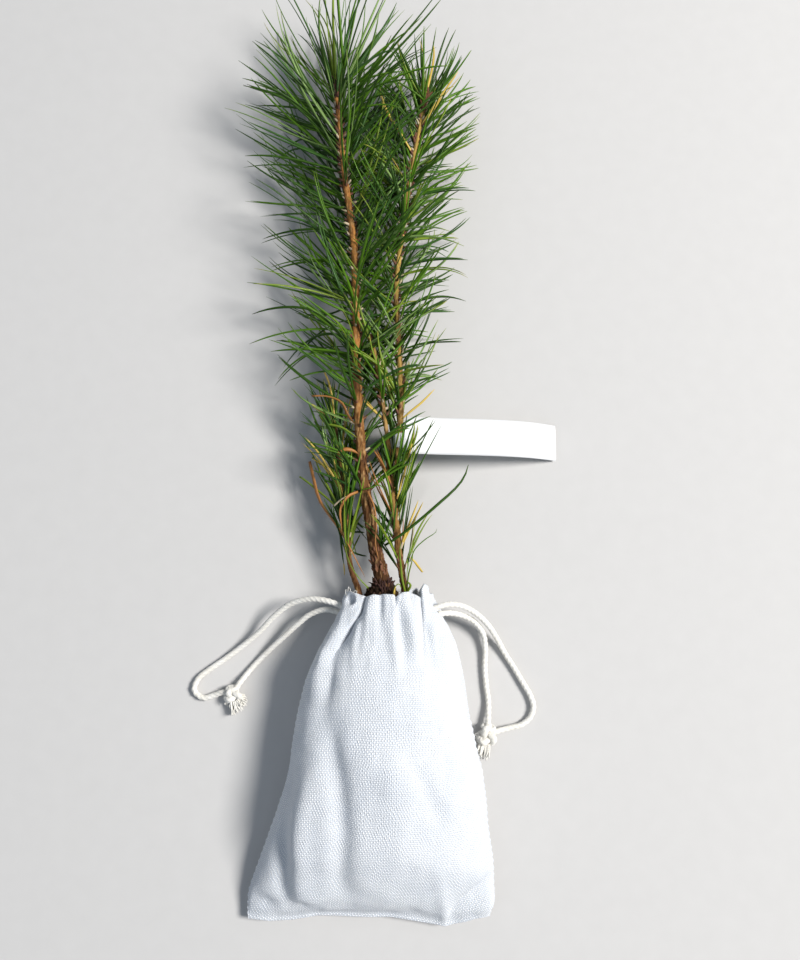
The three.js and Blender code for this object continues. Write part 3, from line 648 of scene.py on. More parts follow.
def frayed_yarns(knot, tuft, ways, dice):
    """The tubes of one tuft of yarns, which leave the knot in a fan and wave as they go."""
    at, ahead, right, up = ways
    start, end, many, reaches, opening, radius, wave = tuft

    def roll(low, high):
        return dice.uniform(low, high, (many, 1, 1))

    t = np.linspace(0, 1, YARN_POINTS)[None, :, None]
    fan = roll(start, end)
    lift = roll(-0.8, 0.6)
    root = at + (ahead * np.cos(fan) + right * np.sin(fan)) * 2.9 * knot["size"] + up * lift * 1.6
    way = ahead * np.cos(fan * opening) + right * np.sin(fan * opening) + up * lift * 0.3
    reach = roll(*reaches) * (1 - 0.25 * abs(fan))
    bend = dice.normal(0, 1.2 * wave, (many, 1, 3)) + ahead * 1.4 * opening
    sway = np.sin(TURN * (t * roll(0.8, 1.5) + dice.random((many, 1, 1))))
    lines = root + unit(way) * reach * t + bend * t**2 + right * sway * t * wave
    lines[..., 2] = np.maximum(lines[..., 2], 0.45 + dice.uniform(0, 0.9, (many, 1)))
    thickness = radius * (1 - 0.4 * t) * roll(0.7, 1.2)
    return rings_round(lines, circle(YARN_SIDES) * thickness[..., None], YARN_REFERENCE)


def knot_piece(side, knot, cotton):
    """A tight overhand knot of the two cords with a collar at its tail, and the tail's frayed yarns."""
    skin = Skin()
    at = np.array(knot["at"], float)
    ahead = unit(np.array(knot["tail"]) - at)
    right = unit(np.cross(ahead, (0, 0, 1)))
    up = np.cross(right, ahead)
    size = knot["size"]
    t = np.linspace(0, TURN, 121)[:-1] + knot["turn"]
    body = np.stack([np.sin(t) + 2 * np.sin(2 * t), np.cos(t) - 2 * np.cos(2 * t), -np.sin(3 * t)], -1)
    body *= size * np.array([knot["wide"], knot["long"], KNOT_DEPTH])
    t = np.linspace(0, TURN, 61)[:-1]
    collar = size * np.stack([2.1 * np.cos(t), 0.5 * np.sin(t) - 3.1, 1.5 * np.sin(t)], -1)
    for loop, radius, lay, reference in (
        (body, 0.3 + 0.86 * size, KNOT_LAY, up), (collar, COLLAR_RADIUS, COLLAR_LAY, ahead),
    ):
        line = at + loop[:, :1] * right + loop[:, 1:2] * ahead + loop[:, 2:] * up
        closed_cord(skin, line, radius, lay, reference)
    dice = np.random.default_rng(knot["seed"])
    for tuft in knot["tufts"]:
        skin.tubes(frayed_yarns(knot, tuft, (at, ahead, right, up), dice))
    return skin.piece(f"knot_{side}_looks", [cotton], [f"knot_{side}"])


def add_cords():
    cotton = cotton_material()
    knots = {side: knot_piece(side, knot, cotton) for side, knot in KNOTS.items()}
    for name, points in CORD_ROUTES.items():
        side = name.split("_")[0]
        ends = np.array(points, float)[[0, 1, -1]]
        tucked = ends[0] + unit(ends[0] - ends[1]) * CORD_TUCK
        bitten = ends[2] + unit(np.array(KNOTS[side]["at"]) - ends[2]) * CORD_BITE
        line = even_line([tucked, *points, bitten], CORD_STEP)
        line[:, 2] = np.maximum(line[:, 2], CORD_DIAMETER / 2)
        profile = twist_profile(line, CORD_DIAMETER / 2 * CORD_FULLNESS, start=len(name))
        skin = Skin()
        skin.tubes(rings_round(line, profile)[None])
        cord = skin.piece(f"drawcord_{name}", [cotton], [f"cord_{name}"])
    return cotton


# The bag

def bag_section(y):
    """The bag's section at each y, on a smooth curve through its stations, as the solid has it."""
    places, values = BAG_STATIONS[:, 0], BAG_STATIONS[:, 1:]
    slopes = np.zeros_like(values)
    slopes[1:-1] = (values[2:] - values[:-2]) / (places[2:] - places[:-2])[:, None]
    k = np.clip(np.searchsorted(places, y, side="right") - 1, 0, len(places) - 2)
    span = (places[k + 1] - places[k])[..., None]
    t = np.clip((y[..., None] - places[k][..., None]) / span, 0, 1)
    return hermite(t, values[k], slopes[k] * span, values[k + 1], slopes[k + 1] * span)


def fold_place(points, x, y):
    """How far each x and y is from a fold, 1 where it is at the fold's right, and the depth and width
    that the fold has there."""
    line = np.array(points, float)
    nearest = np.full((4, *x.shape), 1e9)
    for start, end in zip(line, line[1:]):
        way = end[:2] - start[:2]
        off_x, off_y = x - start[0], y - start[1]
        t = np.clip((off_x * way[0] + off_y * way[1]) / np.linalg.norm(way) ** 2, 0, 1)
        apart = np.hypot(off_x - t * way[0], off_y - t * way[1])
        right = way[0] * off_y - way[1] * off_x > 0
        depth, width = (start[k] + (end[k] - start[k]) * t for k in (2, 3))
        nearest = np.where(apart < nearest[0], [apart, right, depth, width], nearest)
    return nearest


def crease(lean, points, x, y):
    """How far a crease moves the cloth in or out at x and y, and how far it draws it to the right."""
    apart, right, depth, width = fold_place(points, x, y)
    fall = -depth * np.exp(-((apart / np.where(right, width * lean, width)) ** CREASE_EDGE))
    drawn = CREASE_PULL * depth * np.exp(-((apart / CREASE_PULL_REACH) ** 2))
    return fall, np.where(right, 0, drawn)


def valley(points, x, y):
    """How far a valley moves the cloth in or out at x and y."""
    apart, _, depth, width = fold_place(points, x, y)
    return -depth * np.exp(-((apart / width) ** 2))


def bag_surface(y, angle):
    """Points of the bag's outer face and the ways out from it, by rows of y and columns of angle from
    the top towards +X. The upper face has the folds that it is seen with, and the rest has pleats."""
    middle, half, top, side, under, crown = np.moveaxis(bag_section(y), -1, 0)[..., None]
    across, rise = np.sin(angle)[None, :], np.cos(angle)[None, :]
    flat = 1 + (FLATNESS - 1) * (1 - swell(under, 0.2, 2.6))
    upper = side + (top - side) * np.maximum(rise, 0) ** crown
    lower = side - (side - under) * np.minimum(1, np.maximum(-rise, 0) * flat)
    slack = upper - side + (side - under) * np.minimum(1, np.maximum(rise, 0) * flat)
    x = middle + half * across
    z = np.where(rise > 0, upper, lower)
    rows = np.broadcast_to(y[:, None], x.shape)
    face_up = swell(rise, *UPPER_FACE) * np.ones_like(x)
    rim_share = swell(rows, RIM - EDGE_REACH, RIM)
    foot_share = 1 - swell(rows, BAG_FOOT, BAG_FOOT + EDGE_REACH)
    front, back, seam = (np.interp(x, *np.array(edge).T) for edge in (FRONT_RIM, BACK_RIM, BOTTOM_SEAM))
    placed = rows + rim_share * ((front - RIM) * face_up + (back - RIM) * (1 - face_up))
    placed += (seam - BAG_FOOT) * foot_share
    base = np.stack([x, placed, z], -1)
    turn = unit(np.roll(base, -1, 1) - np.roll(base, 1, 1))
    out = unit(np.cross(turn, np.gradient(base, axis=0)))
    height, fall, pull = np.zeros((3, *x.shape))
    for lean, points in CREASES:
        moved, drawn = crease(lean, points, x, placed)
        fall += moved * face_up
        pull += drawn * face_up
    for points in VALLEYS:
        height += valley(points, x, placed) * face_up
    gathered = swell(rows, PLEATS_START, RIM)
    height += PLEAT_DEPTH * gathered * np.cos(PLEATS * angle + PLEATS_TURN)[None, :] * (1 - face_up)
    cloth = np.stack([x, rows, z], -1)
    height += 0.32 * gathered * ripples(cloth * (1, 0.12, 1), 4.6, 3)
    height += 0.42 * ripples(cloth, 34, 5) + 0.16 * ripples(cloth, 12, 6)
    pucker = SIDE_SEAM_HEIGHT + PUCKER_HEIGHT * np.sin(rows * TURN / PUCKER_LENGTH)
    height += np.exp(-((rise / SIDE_SEAM_WIDTH) ** 2)) * pucker * (1 - swell(rows, *SIDE_SEAM_END))
    room = FOLD_ROOM * np.maximum(slack, 0.05)
    height = np.where(height < 0, -room * np.tanh(-height / room), height)
    lines = base + out * height[..., None]
    lines[..., 0] += pull
    lines[..., 2] -= room * np.tanh(-fall / room)
    for *at, radius, depth in DENTS:
        apart = np.linalg.norm(lines - at, axis=-1) / radius
        rim = 0.5 * np.exp(-((apart - 1.6) ** 2) * 5)
        lines -= out * (depth * np.exp(-(apart**4)) - rim)[..., None]
    lines[..., 2] = np.maximum(lines[..., 2], 0)
    return lines, out


def seam_faces(offset=0, inward=False):
    """Faces that join the top and the underside of a row along the bag's bottom edge."""
    half, quarter = BAG_COLUMNS // 2, BAG_COLUMNS // 4
    first, last = 1 - quarter, quarter - 1
    right = np.arange(first, last)
    quads = np.stack([right + 1, right, half - right, half - right - 1], -1)
    threes = np.array([[first, first - 1, half - first], [last + 1, last, half - last]])
    way = -1 if inward else 1
    return [block[:, ::way] % BAG_COLUMNS + offset for block in (quads, threes)]


def cloth_corners(shell, middle_row):
    """The function that gives a face's corners their cloth coordinates, in millimetres along the cloth
    from the top of the middle row."""
    half = BAG_COLUMNS // 2
    steps = np.linalg.norm(np.diff(shell, axis=0), axis=-1)
    along = np.concatenate([np.zeros((1, BAG_COLUMNS)), np.cumsum(steps, axis=0)])
    along -= along[middle_row]
    spans = np.linalg.norm(np.roll(shell, -1, 1) - shell, axis=-1)
    laps = spans.sum(1, keepdims=True)
    around = np.cumsum(spans, axis=1) - spans
    around = np.where(np.arange(BAG_COLUMNS) < half, around, around - laps)
    places = np.stack([around, along], -1).reshape(-1, 2)

    def corner_map(corners, sizes):
        """Cloth coordinates of each face's corners, unbroken where a face crosses the back."""
        here = places[corners].copy()
        face_of = np.repeat(np.arange(len(sizes)), sizes)
        column = corners % BAG_COLUMNS
        crosses = np.zeros(len(sizes), bool)
        crosses[face_of[column == half - 1]] = True
        back = crosses[face_of] & (column == half)
        here[back, 0] += laps[corners[back] // BAG_COLUMNS, 0]
        return here

    return corner_map


def add_bag(canvas, cotton):
    """The bag, whose hem turns in at the rim, and the threads that have come loose there."""
    rows = np.linspace(BAG_FOOT, RIM, round((RIM - BAG_FOOT) / BAG_STEP) + 1)
    face, out = bag_surface(rows, angles_round(BAG_COLUMNS))
    opposite = (BAG_COLUMNS // 2 - np.arange(BAG_COLUMNS)) % BAG_COLUMNS
    level = (face[0, :, 2] + face[0, opposite, 2]) / 2
    lip = []
    for share, step in SEAM_LIP:
        row = face[0].copy()
        row[:, 2] = level + (row[:, 2] - level) * share
        row[:, 1] -= step
        lip.append(row)
    hem = CANVAS + (HEM - CANVAS) * swell(rows, CASING_FOOT - 1, CASING_FOOT + 1)
    rim_ahead = unit(face[-1] - face[-3])
    turns = [
        face[-1] + rim_ahead * 0.5 * HEM * math.sin(a) - out[-1] * 0.5 * HEM * (1 - math.cos(a))
        for a in np.linspace(0, math.pi, HEM_POINTS)[1:-1]
    ]
    inner_rows = np.arange(len(rows) - 1, INNER_FOOT, -INNER_STEP)
    inner = face[inner_rows] - out[inner_rows] * hem[inner_rows][:, None, None]
    inner[..., 2] = np.maximum(inner[..., 2], CANVAS)
    shell = np.concatenate([np.array(lip), face, np.array(turns), inner])
    skin = Skin()
    closing = (len(shell) - 1) * BAG_COLUMNS
    walls = grid_faces(len(shell), BAG_COLUMNS)
    skin.add(shell, walls, *seam_faces(), *seam_faces(closing, inward=True))
    corner_map = cloth_corners(shell, len(lip) + len(rows) // 2)
    skin.piece("bag_canvas", [canvas], ["bag"], corner_map)
    threads = Skin()
    lines = np.array([Route(points).at(np.linspace(0, 1, YARN_POINTS)) for points in RIM_THREADS])
    threads.tubes(rings_round(lines, circle(YARN_SIDES) * THREAD_RADIUS, YARN_REFERENCE))
    threads.piece("rim_threads", [cotton])


def mound_rings(edge):
    """Rings from the soil's edge to its middle, heaped up round the trunk's foot."""
    centre, foot = edge.mean(0), TRUNK_ROUTE[0]
    rings = []
    for share in np.linspace(0.94, 0.03, MOUND_RINGS):
        ring = centre + (edge - centre) * share
        apart = np.hypot(ring[:, 0] - foot[0] + 1, ring[:, 2] - foot[2])
        heap = MOUND_HEIGHT * np.exp(-((apart / MOUND_WIDTH) ** 2)) * (1 - share**6)
        ring[:, 1] = SOIL + 0.6 + heap
        ring[:, 1] += 0.7 * ripples(ring, 3.4, 21) + 0.4 * ripples(ring, 1.6, 22)
        rings.append(ring)
    return np.array(rings)


def crumb(place, dice):
    """An uneven lump of compost."""
    size = dice.uniform(0.35, 1.15)
    stretch = dice.uniform(0.7, 1.4, 3)
    latitude = np.linspace(-1.3, 1.3, CRUMB_LEVELS)[:, None]
    right, up = circle(CRUMB_SIDES).T
    wide, high = np.cos(latitude), np.sin(latitude) * np.ones(CRUMB_SIDES)
    ball = np.stack([wide * right, high, wide * up], -1)
    ball = ball * stretch * size * (1 + dice.normal(0, 0.12, ball.shape))
    return ball + place + (0, 0.3, 0)


def add_root_ball(compost):
    """Compost and roots that fill the bag, with a loose crumbly mound round the trunk's foot."""
    rows = np.linspace(BALL_FOOT, SOIL, BALL_ROWS)
    face, _ = bag_surface(rows, angles_round(BALL_COLUMNS))
    middle = face.mean(1, keepdims=True)
    body = middle + (face - middle) * np.interp(rows, BALL_PLACES, BALL_SHARES)[:, None, None]
    mound = mound_rings(body[-1])
    shell = np.concatenate([body, mound])
    first = np.arange(BALL_COLUMNS)
    last = (len(shell) - 1) * BALL_COLUMNS + first
    skin = Skin()
    skin.add(shell, grid_faces(len(shell), BALL_COLUMNS), [first[::-1]], [last])
    dice = np.random.default_rng(CRUMB_SEED)
    picks = dice.integers(0, CRUMB_RINGS, CRUMBS), dice.integers(0, BALL_COLUMNS, CRUMBS)
    for place in mound[picks]:
        skin.tubes(crumb(place, dice)[None])
    skin.piece("root_ball_compost", [compost], ["root_ball"])


# Stems

STEM_SIDES = 36
STEM_STEP = 0.42
STEM_SEED = 60
BASE_SPACING = 2.1
BASE_WIDTH = 0.55
BASE_TAIL = 4.2
# The colours of the bark at three heights up the plant.
BARKS = {
    "old": ("trunk_bark", [
        (84, (0.046, 0.019, 0.007)), (130, (0.118, 0.052, 0.018)), (235, (0.46, 0.205, 0.055)),
    ]),
    "young": ("young_stem_bark", [
        (88, (0.12, 0.050, 0.018)), (125, (0.28, 0.155, 0.045)), (260, (0.42, 0.285, 0.070)),
    ]),
}


def taper(foot, tip, flare=0.0):
    return lambda share: foot + (tip - foot) * share**0.8 + flare * np.exp(-share * 20)


def stem_of(points, bark, *radii):
    return {"points": points, "line": Route(points), "bark": bark, "radius": taper(*radii)}


STEMS = {
    "trunk": stem_of(TRUNK_ROUTE, "old", 3.1, 1.15, 2.2),
    "right_stem": stem_of(RIGHT_ROUTE, "young", 1.75, 1.05),
    "middle_bough": stem_of(MIDDLE_ROUTE, "young", 1.1, 0.8),
    "left_stem": stem_of(LEFT_ROUTE, "young", 1.5, 0.8),
}


def needle_bases(radius, along, dice):
    """How high the bases of a stem's needles stand, which run down the stem from each needle."""
    relief = np.zeros_like(radius)
    angle = angles_round(STEM_SIDES)
    for k in range(int(along[-1, 0] / BASE_SPACING)):
        at = k * BASE_SPACING + dice.uniform(-0.4, 0.4)
        turn = k * GOLDEN_ANGLE + dice.normal(0, 0.12)
        near = np.abs(along[:, 0] - at) < 9
        off = (angle - turn + math.pi) % TURN - math.pi
        sideways = off[None, :] * radius[near]
        below = at - along[near]
        fade = np.where(below > 0, np.exp(-below / BASE_TAIL), np.exp(-((below / 0.5) ** 2)))
        ridge = np.exp(-((sideways / BASE_WIDTH) ** 2)) * fade
        relief[near] = np.maximum(relief[near], ridge * dice.uniform(0.7, 1.1))
    return relief


def stem_piece(name, stem, barks, seed):
    """A stem whose bark has furrows, flakes and the raised bases of its needles."""
    line = Route(MIDDLE_FORK + stem["points"]) if name == "middle_bough" else stem["line"]
    share = np.linspace(0, 1, round(line.length / STEM_STEP))
    centre, _, right, up = line.frame(share)
    out = outward(right[:, None], up[:, None], angles_round(STEM_SIDES))
    columns = np.ones((1, STEM_SIDES))
    radius = stem["radius"](share)[:, None] * columns
    along = (share * line.length)[:, None] * columns
    stretched = (centre[:, None] + out * radius[..., None]) * (1, 0.45, 1)
    is_old = stem["bark"] == "old"
    flaking = 1 - swell(share, 0.1, 0.5)[:, None] if is_old else 0.25
    flaky = ripples(stretched, 1.7, seed + 1)
    height = 0.30 * needle_bases(radius, along, np.random.default_rng(seed))
    height += flaking * 0.26 * np.sign(flaky) * np.abs(flaky) ** 0.7
    height += 0.10 * ripples(stretched, 0.8, seed + 2)
    reach = radius * 0.94 + height * np.minimum(1, radius / 1.6)
    skin = Skin()
    skin.tubes((centre[:, None] + out * reach[..., None])[None])
    skin.piece(f"{name}_bark", [barks[stem["bark"]]], [name])


def add_stems():
    barks = {kind: bark_material(*bark) for kind, bark in BARKS.items()}
    for place, (name, stem) in enumerate(STEMS.items()):
        stem_piece(name, stem, barks, STEM_SEED + 5 * place)


# Needles

GREENS = {
    "deep": ((0.026, 0.070, 0.004), (0.045, 0.085, 0.008)),
    "fresh": ((0.070, 0.162, 0.008), (0.110, 0.185, 0.016)),
    "yellow": ((0.150, 0.220, 0.018), (0.270, 0.270, 0.040)),
    "blue": ((0.040, 0.104, 0.018), (0.075, 0.130, 0.035)),
    "pale": ((0.170, 0.270, 0.075), (0.240, 0.300, 0.085)),
    "straw": ((0.56, 0.40, 0.09), (0.58, 0.42, 0.12)),
    "rust": ((0.36, 0.155, 0.045), (0.28, 0.13, 0.04)),
}
# The masses of needles, as the solids have them: the name, the stem, the shares of it that the mass
# covers, its needles' length, the pairs of needles, how many of 100 pairs have each colour, in GREENS'
# order, and the least and most that they spread from the stem.
LEADER_MIX = (32, 38, 8, 14, 8, 0, 0)
LOWER_MIX = (28, 34, 18, 9, 9, 2, 0)
FOOT_MIX = (24, 24, 30, 4, 6, 8, 4)
HUG_MIX = (44, 20, 16, 8, 2, 4, 6)
SPREAD = (0.5, 1.3)


def bands(name, stem, start, end, lengths, pairs, mix):
    step = (end - start) / len(lengths)
    return [
        (f"{name}_{k + 1}", stem, (start + step * k, start + step * (k + 1)), length, count, mix, SPREAD)
        for k, (length, count) in enumerate(zip(lengths, pairs))
    ]


MASSES = [
    *bands("leader_needles", "trunk", 0.2, 0.985, (34, 44, 52, 57, 60), (36, 52, 66, 80, 100), LEADER_MIX),
    *bands("right_needles", "right_stem", 0.37, 0.985, (32, 37, 38, 38), (38, 50, 62, 84), LOWER_MIX),
    ("right_foot_needles", "right_stem", (0.07, 0.37), 28, 76, FOOT_MIX, (0.05, 0.62)),
    ("middle_needles", "middle_bough", (0.36, 1), 34, 34, LOWER_MIX, SPREAD),
    ("left_needles", "left_stem", (0.3, 1), 32, 76, HUG_MIX, (0.04, 0.55)),
]
# Single needles that stand out from the masses, and dead ones: by their colour, the points they follow.
LOOSE_NEEDLES = {
    "rust": [
        [(-30, 149, 14), (-28, 141, 15), (-25, 130.5, 17), (-19.5, 122, 19), (-14.5, 115, 21),
         (-10, 107, 22), (-6, 99.5, 22), (-3, 94, 21)],
        [(-6.5, 133, 25), (-10.5, 131, 27), (-13.5, 127, 27), (-14.5, 123.5, 26), (-14, 118.5, 24),
         (-13.5, 113, 22)],
        [(-16, 151, 27), (-12.5, 152.5, 28), (-9, 152, 27), (-6, 150.5, 25)],
        [(-28, 178, 26), (-20, 177, 28), (-14, 174, 29), (-11, 168.5, 28), (-8, 165, 25)],
        [(-1.5, 133, 27.5), (1.5, 126, 27.5), (2.5, 118, 27.5), (2, 109, 27), (3.5, 101, 26)],
    ],
    "husk": [
        [(-17.3, 126.5, 26), (-14.4, 129, 27), (-11, 131.1, 27.6)],
        [(19.5, 119, 24.5), (19, 112.5, 24), (18, 106.5, 23.5)],
    ],
    "straw": [
        [(-28.5, 174.5, 24), (-25.5, 172, 25), (-20, 168.5, 24)],
        [(23.5, 96.5, 17), (21.5, 99, 19), (19.5, 101.5, 21), (17, 103.5, 21.5)],
        [(14, 167, 27), (18.5, 170.5, 29), (23, 174, 30), (29, 180, 31)],
        [(10.4, 84.9, 26), (10.7, 87.6, 27), (11.3, 89.8, 27)],
        [(-28, 150, 17), (-23.5, 147, 18), (-20, 145, 18)],
        [(-13.3, 100.5, 14), (-13.1, 97.5, 13.4), (-12.9, 95, 13)],
    ],
    "yellow": [
        [(-25, 170, 22), (-21.5, 165.5, 24), (-14, 163, 26), (-7, 158.5, 25)],
        [(-28.5, 150.5, 16), (-24, 147, 18), (-18.5, 144, 20), (-16, 138.5, 21), (-14.5, 132, 21),
         (-14, 126, 20)],
        [(-35, 142, 12), (-32, 140, 13), (-26.5, 135.5, 15), (-19.5, 129.5, 17), (-13.5, 123, 18)],
        [(-1.5, 89, 22), (-7, 95, 24), (-10.5, 101.5, 24), (-12.5, 109, 23)],
        [(10.1, 86.7, 25), (11.1, 89.6, 27), (12.6, 90.7, 27), (13.6, 88.9, 26)],
        [(15.9, 86.7, 21), (17.3, 88.8, 23), (17.9, 90.3, 24), (16.7, 91.5, 24), (15.6, 90.4, 23)],
        [(15.5, 87, 22), (14, 93.5, 24), (13.5, 99, 25), (13, 105, 26), (13.5, 110.5, 26)],
        [(16, 88, 22), (17, 95.5, 24), (18.5, 101.5, 25), (19, 107, 25)],
        [(-16.5, 130, 18), (-17, 139.5, 18), (-19.5, 144.5, 18), (-24, 148.5, 17)],
    ],
    "pale": [
        [(20, 121, 24), (18.5, 111.5, 23), (17, 101.5, 22), (16, 93, 22)],
    ],
    "deep": [
        [(6, 108.4, 24), (12.9, 112.6, 27), (22.3, 119.9, 29), (31.7, 128.1, 29), (38.1, 133.9, 28),
         (42.7, 139.9, 26), (44.8, 145.9, 24)],
        [(6.2, 108.3, 24), (13.1, 112.4, 27.2), (22.5, 119.7, 29.2), (31.9, 127.9, 29.2),
         (38.3, 133.8, 28), (42.9, 139.8, 26), (44.9, 145.8, 24)],
        [(-15.5, 126, 18), (-18, 137.5, 19), (-22.5, 139.5, 18), (-27.5, 150, 16), (-33, 159.5, 14)],
        [(-15, 144.5, 18), (-19.5, 149.5, 19), (-24, 153, 18), (-30, 159, 16)],
        [(-9.5, 151, 20), (-11.5, 141.5, 20), (-13.5, 130, 19), (-14, 120.5, 18)],
        [(-10, 158.5, 19), (-13, 148, 19), (-14.5, 137, 18), (-15, 128, 17)],
        [(-12.5, 116, 18), (-15, 127.5, 18), (-16, 139.5, 18), (-15.5, 151.5, 18)],
        [(10.2, 115, 22), (10.4, 119.5, 24.5), (11, 124.5, 26), (11.5, 128.5, 27)],
        [(-12.6, 122, 18), (-14.6, 115, 16.5), (-13.9, 105, 15), (-13.2, 100, 14)],
    ],
    "fresh": [
        [(17.5, 101, 23), (20, 107, 24), (25, 111.5, 25), (29.5, 114.5, 25), (30, 116, 25)],
        [(-4.5, 133.5, 27), (0.5, 134.5, 29), (3.5, 135.5, 29), (6.5, 133.5, 27)],
        [(-11, 149.5, 20), (-9, 143.5, 23), (-6, 138, 26), (-4.5, 133.5, 27.5)],
    ],
}
# Sprays of single needles that fill out the masses: the first and last root, with the others at even
# steps between them, then the arch and the needles. A needle has its colour, its tip and how far its
# middle bows towards the crown. Bow and arch, which is upward, are shares of a needle's length.
SPRAYS = [
    ((-14, 337, 39), (-10, 312, 36), 0.055, [
        ("fresh", (-18, 393.5, 62), -0.03), ("fresh", (-2, 378.5, 58), -0.04),
        ("deep", (-27, 376.5, 58), -0.03), ("deep", (10.5, 372, 55), -0.07),
        ("blue", (12, 335.5, 54), 0.05), ("fresh", (18.5, 344, 56), 0.01),
        ("fresh", (15, 327, 49), 0.03), ("deep", (31.5, 360.5, 60), -0.09),
        ("deep", (32.5, 357, 59), -0.08), ("deep", (30, 334.5, 56), -0.02),
        ("deep", (22.5, 321.5, 51), 0.07), ("fresh", (36, 326.5, 54), 0.07),
        ("deep", (12, 317, 47), 0.07), ("fresh", (14, 310.5, 46), 0.08),
        ("fresh", (7.5, 325.5, 51), 0.02),
    ]),
    ((24.5, 323, 34), (24.5, 322, 34), 0.02, [
        ("deep", (12, 341, 49), -0.04), ("fresh", (3.5, 327, 46), 0.06),
    ]),
    ((-10, 232, 24.5), (-8, 190, 24.5), 0.08, [
        ("deep", (-36, 245.5, 14), -0.2), ("deep", (-39, 243, 15), -0.07),
        ("deep", (-44, 240.5, 12), -0.11), ("deep", (-33.5, 223.5, 10), -0.13),
        ("fresh", (-60.5, 235, 22), 0.01), ("fresh", (-58, 246.5, 26), -0.06),
        ("deep", (-37.5, 202.5, 7), 0.1), ("deep", (-59.5, 222.5, 12), 0.09),
        ("fresh", (-59, 205, 20), 0.05), ("deep", (-53.5, 233, 8), -0.03),
        ("deep", (-44.5, 197, 6), 0.22), ("deep", (-48.5, 188, 6), 0.14),
        ("fresh", (-48.5, 201, 21), 0.02), ("deep", (-47.5, 209.5, 11), 0.02),
        ("fresh", (-46, 190, 12), 0.23), ("fresh", (-39.5, 187, 20), 0.05),
    ]),
    ((12.5, 126, 24), (8.5, 147, 24), 0.03, [
        ("deep", (32.5, 164, 31), 0.01), ("deep", (28.5, 166, 30), 0.03),
        ("straw", (20, 160.5, 28), -0.02), ("deep", (13.5, 160.5, 31), -0.01),
        ("deep", (18, 161.5, 31), 0.01), ("deep", (16.5, 169.5, 30), 0),
        ("deep", (23.5, 156, 31), 0.01), ("fresh", (15.5, 164.5, 31), -0.01),
        ("fresh", (21, 168, 30), -0.01), ("fresh", (5, 158, 30), 0),
        ("yellow", (13.5, 164, 30), 0), ("deep", (29.5, 165.5, 30), -0.1),
    ]),
    ((4, 106, 20.5), (4.4, 109, 20), 0.05, [
        ("deep", (9.5, 123, 26), 0), ("deep", (9.5, 121, 25), 0), ("deep", (3.6, 122, 24.5), 0.02),
        ("deep", (5.5, 124, 25), 0), ("deep", (7, 126, 26), 0), ("deep", (8.5, 118, 25), 0.03),
        ("fresh", (9.5, 113, 24), 0.05),
    ]),
    ((-12.2, 126, 17.5), (-10.4, 103, 17.5), -0.02, [
        ("deep", (-4, 117, 15), -0.05), ("deep", (-1.5, 110.5, 14), 0.05),
        ("yellow", (-7, 104, 12), 0.04), ("deep", (-3.5, 115, 15), 0.05),
        ("deep", (-7.5, 122, 13), 0.03), ("deep", (-2.5, 104, 14), -0.06),
        ("yellow", (-5.5, 114.5, 14), 0.04),
    ]),
]
LOOSE_WIDTH = 1.3
DEAD_WIDTH = 1.7
NEEDLE_WIDTH = 1.2
NEEDLE_POINTS = 13
# A needle's section, half round, as shares of half its width.
NEEDLE_SECTION = np.array([(-1, 0), (-0.72, 0.5), (0, 0.78), (0.72, 0.5), (1, 0), (0, -0.18)])
NEEDLE_SEED = 41
FLOOR_CLEARANCE = 0.7
CROWN_TOP = 74
# The share of a stem from which its needles close up to a tuft.
TUFT_START = 0.86
# Only some of the pairs within this angle of a stem's top are kept, because the photo shows its bark.
BARE_TOP = 0.75
KEPT_ON_TOP = 0.2
SHEATH_LENGTH = 3.6
SHEATH_WIDTHS = (0.5, 0.62, 0.6, 0.54, 0.4)
SHEATH_SIDES = 6
# Short scales: the stem, the shares of it that they cover, how many, the least and most of their length
# and lean, their width, and whether they are dark (0) or warm (1).
SCALES = {
    "foot_scales": [
        ("trunk", (0.012, 0.052), 190, (1.8, 4.4), (-0.1, 0.85), 1.3, 0),
        ("trunk", (0.04, 0.11), 70, (1.4, 3.4), (0, 0.3), 1.5, 1),
    ],
    "buds": [
        ("trunk", (0.955, 1), 70, (2.4, 4.2), (-0.1, 0.3), 1.5, 0),
        ("right_stem", (0.95, 1), 60, (2.2, 4), (-0.1, 0.3), 1.4, 1),
        ("middle_bough", (0.93, 1), 30, (2, 3), (-0.1, 0.3), 1.2, 1),
    ],
}


def tag_clear(lines):
    """Whether each line keeps clear of the tag."""
    strip = np.array(sorted(TAG_STRIP))
    level = np.interp(lines[..., 0], strip[:, 0], strip[:, 1])
    over = (np.abs(lines[..., 1] - TAG_Y) < TAG_WIDTH / 2 + 1) & (lines[..., 0] > strip[0, 0] - 9)
    crossing = over & (np.abs(lines[..., 2] - level) < 1.6)
    return ~crossing.any(-1)


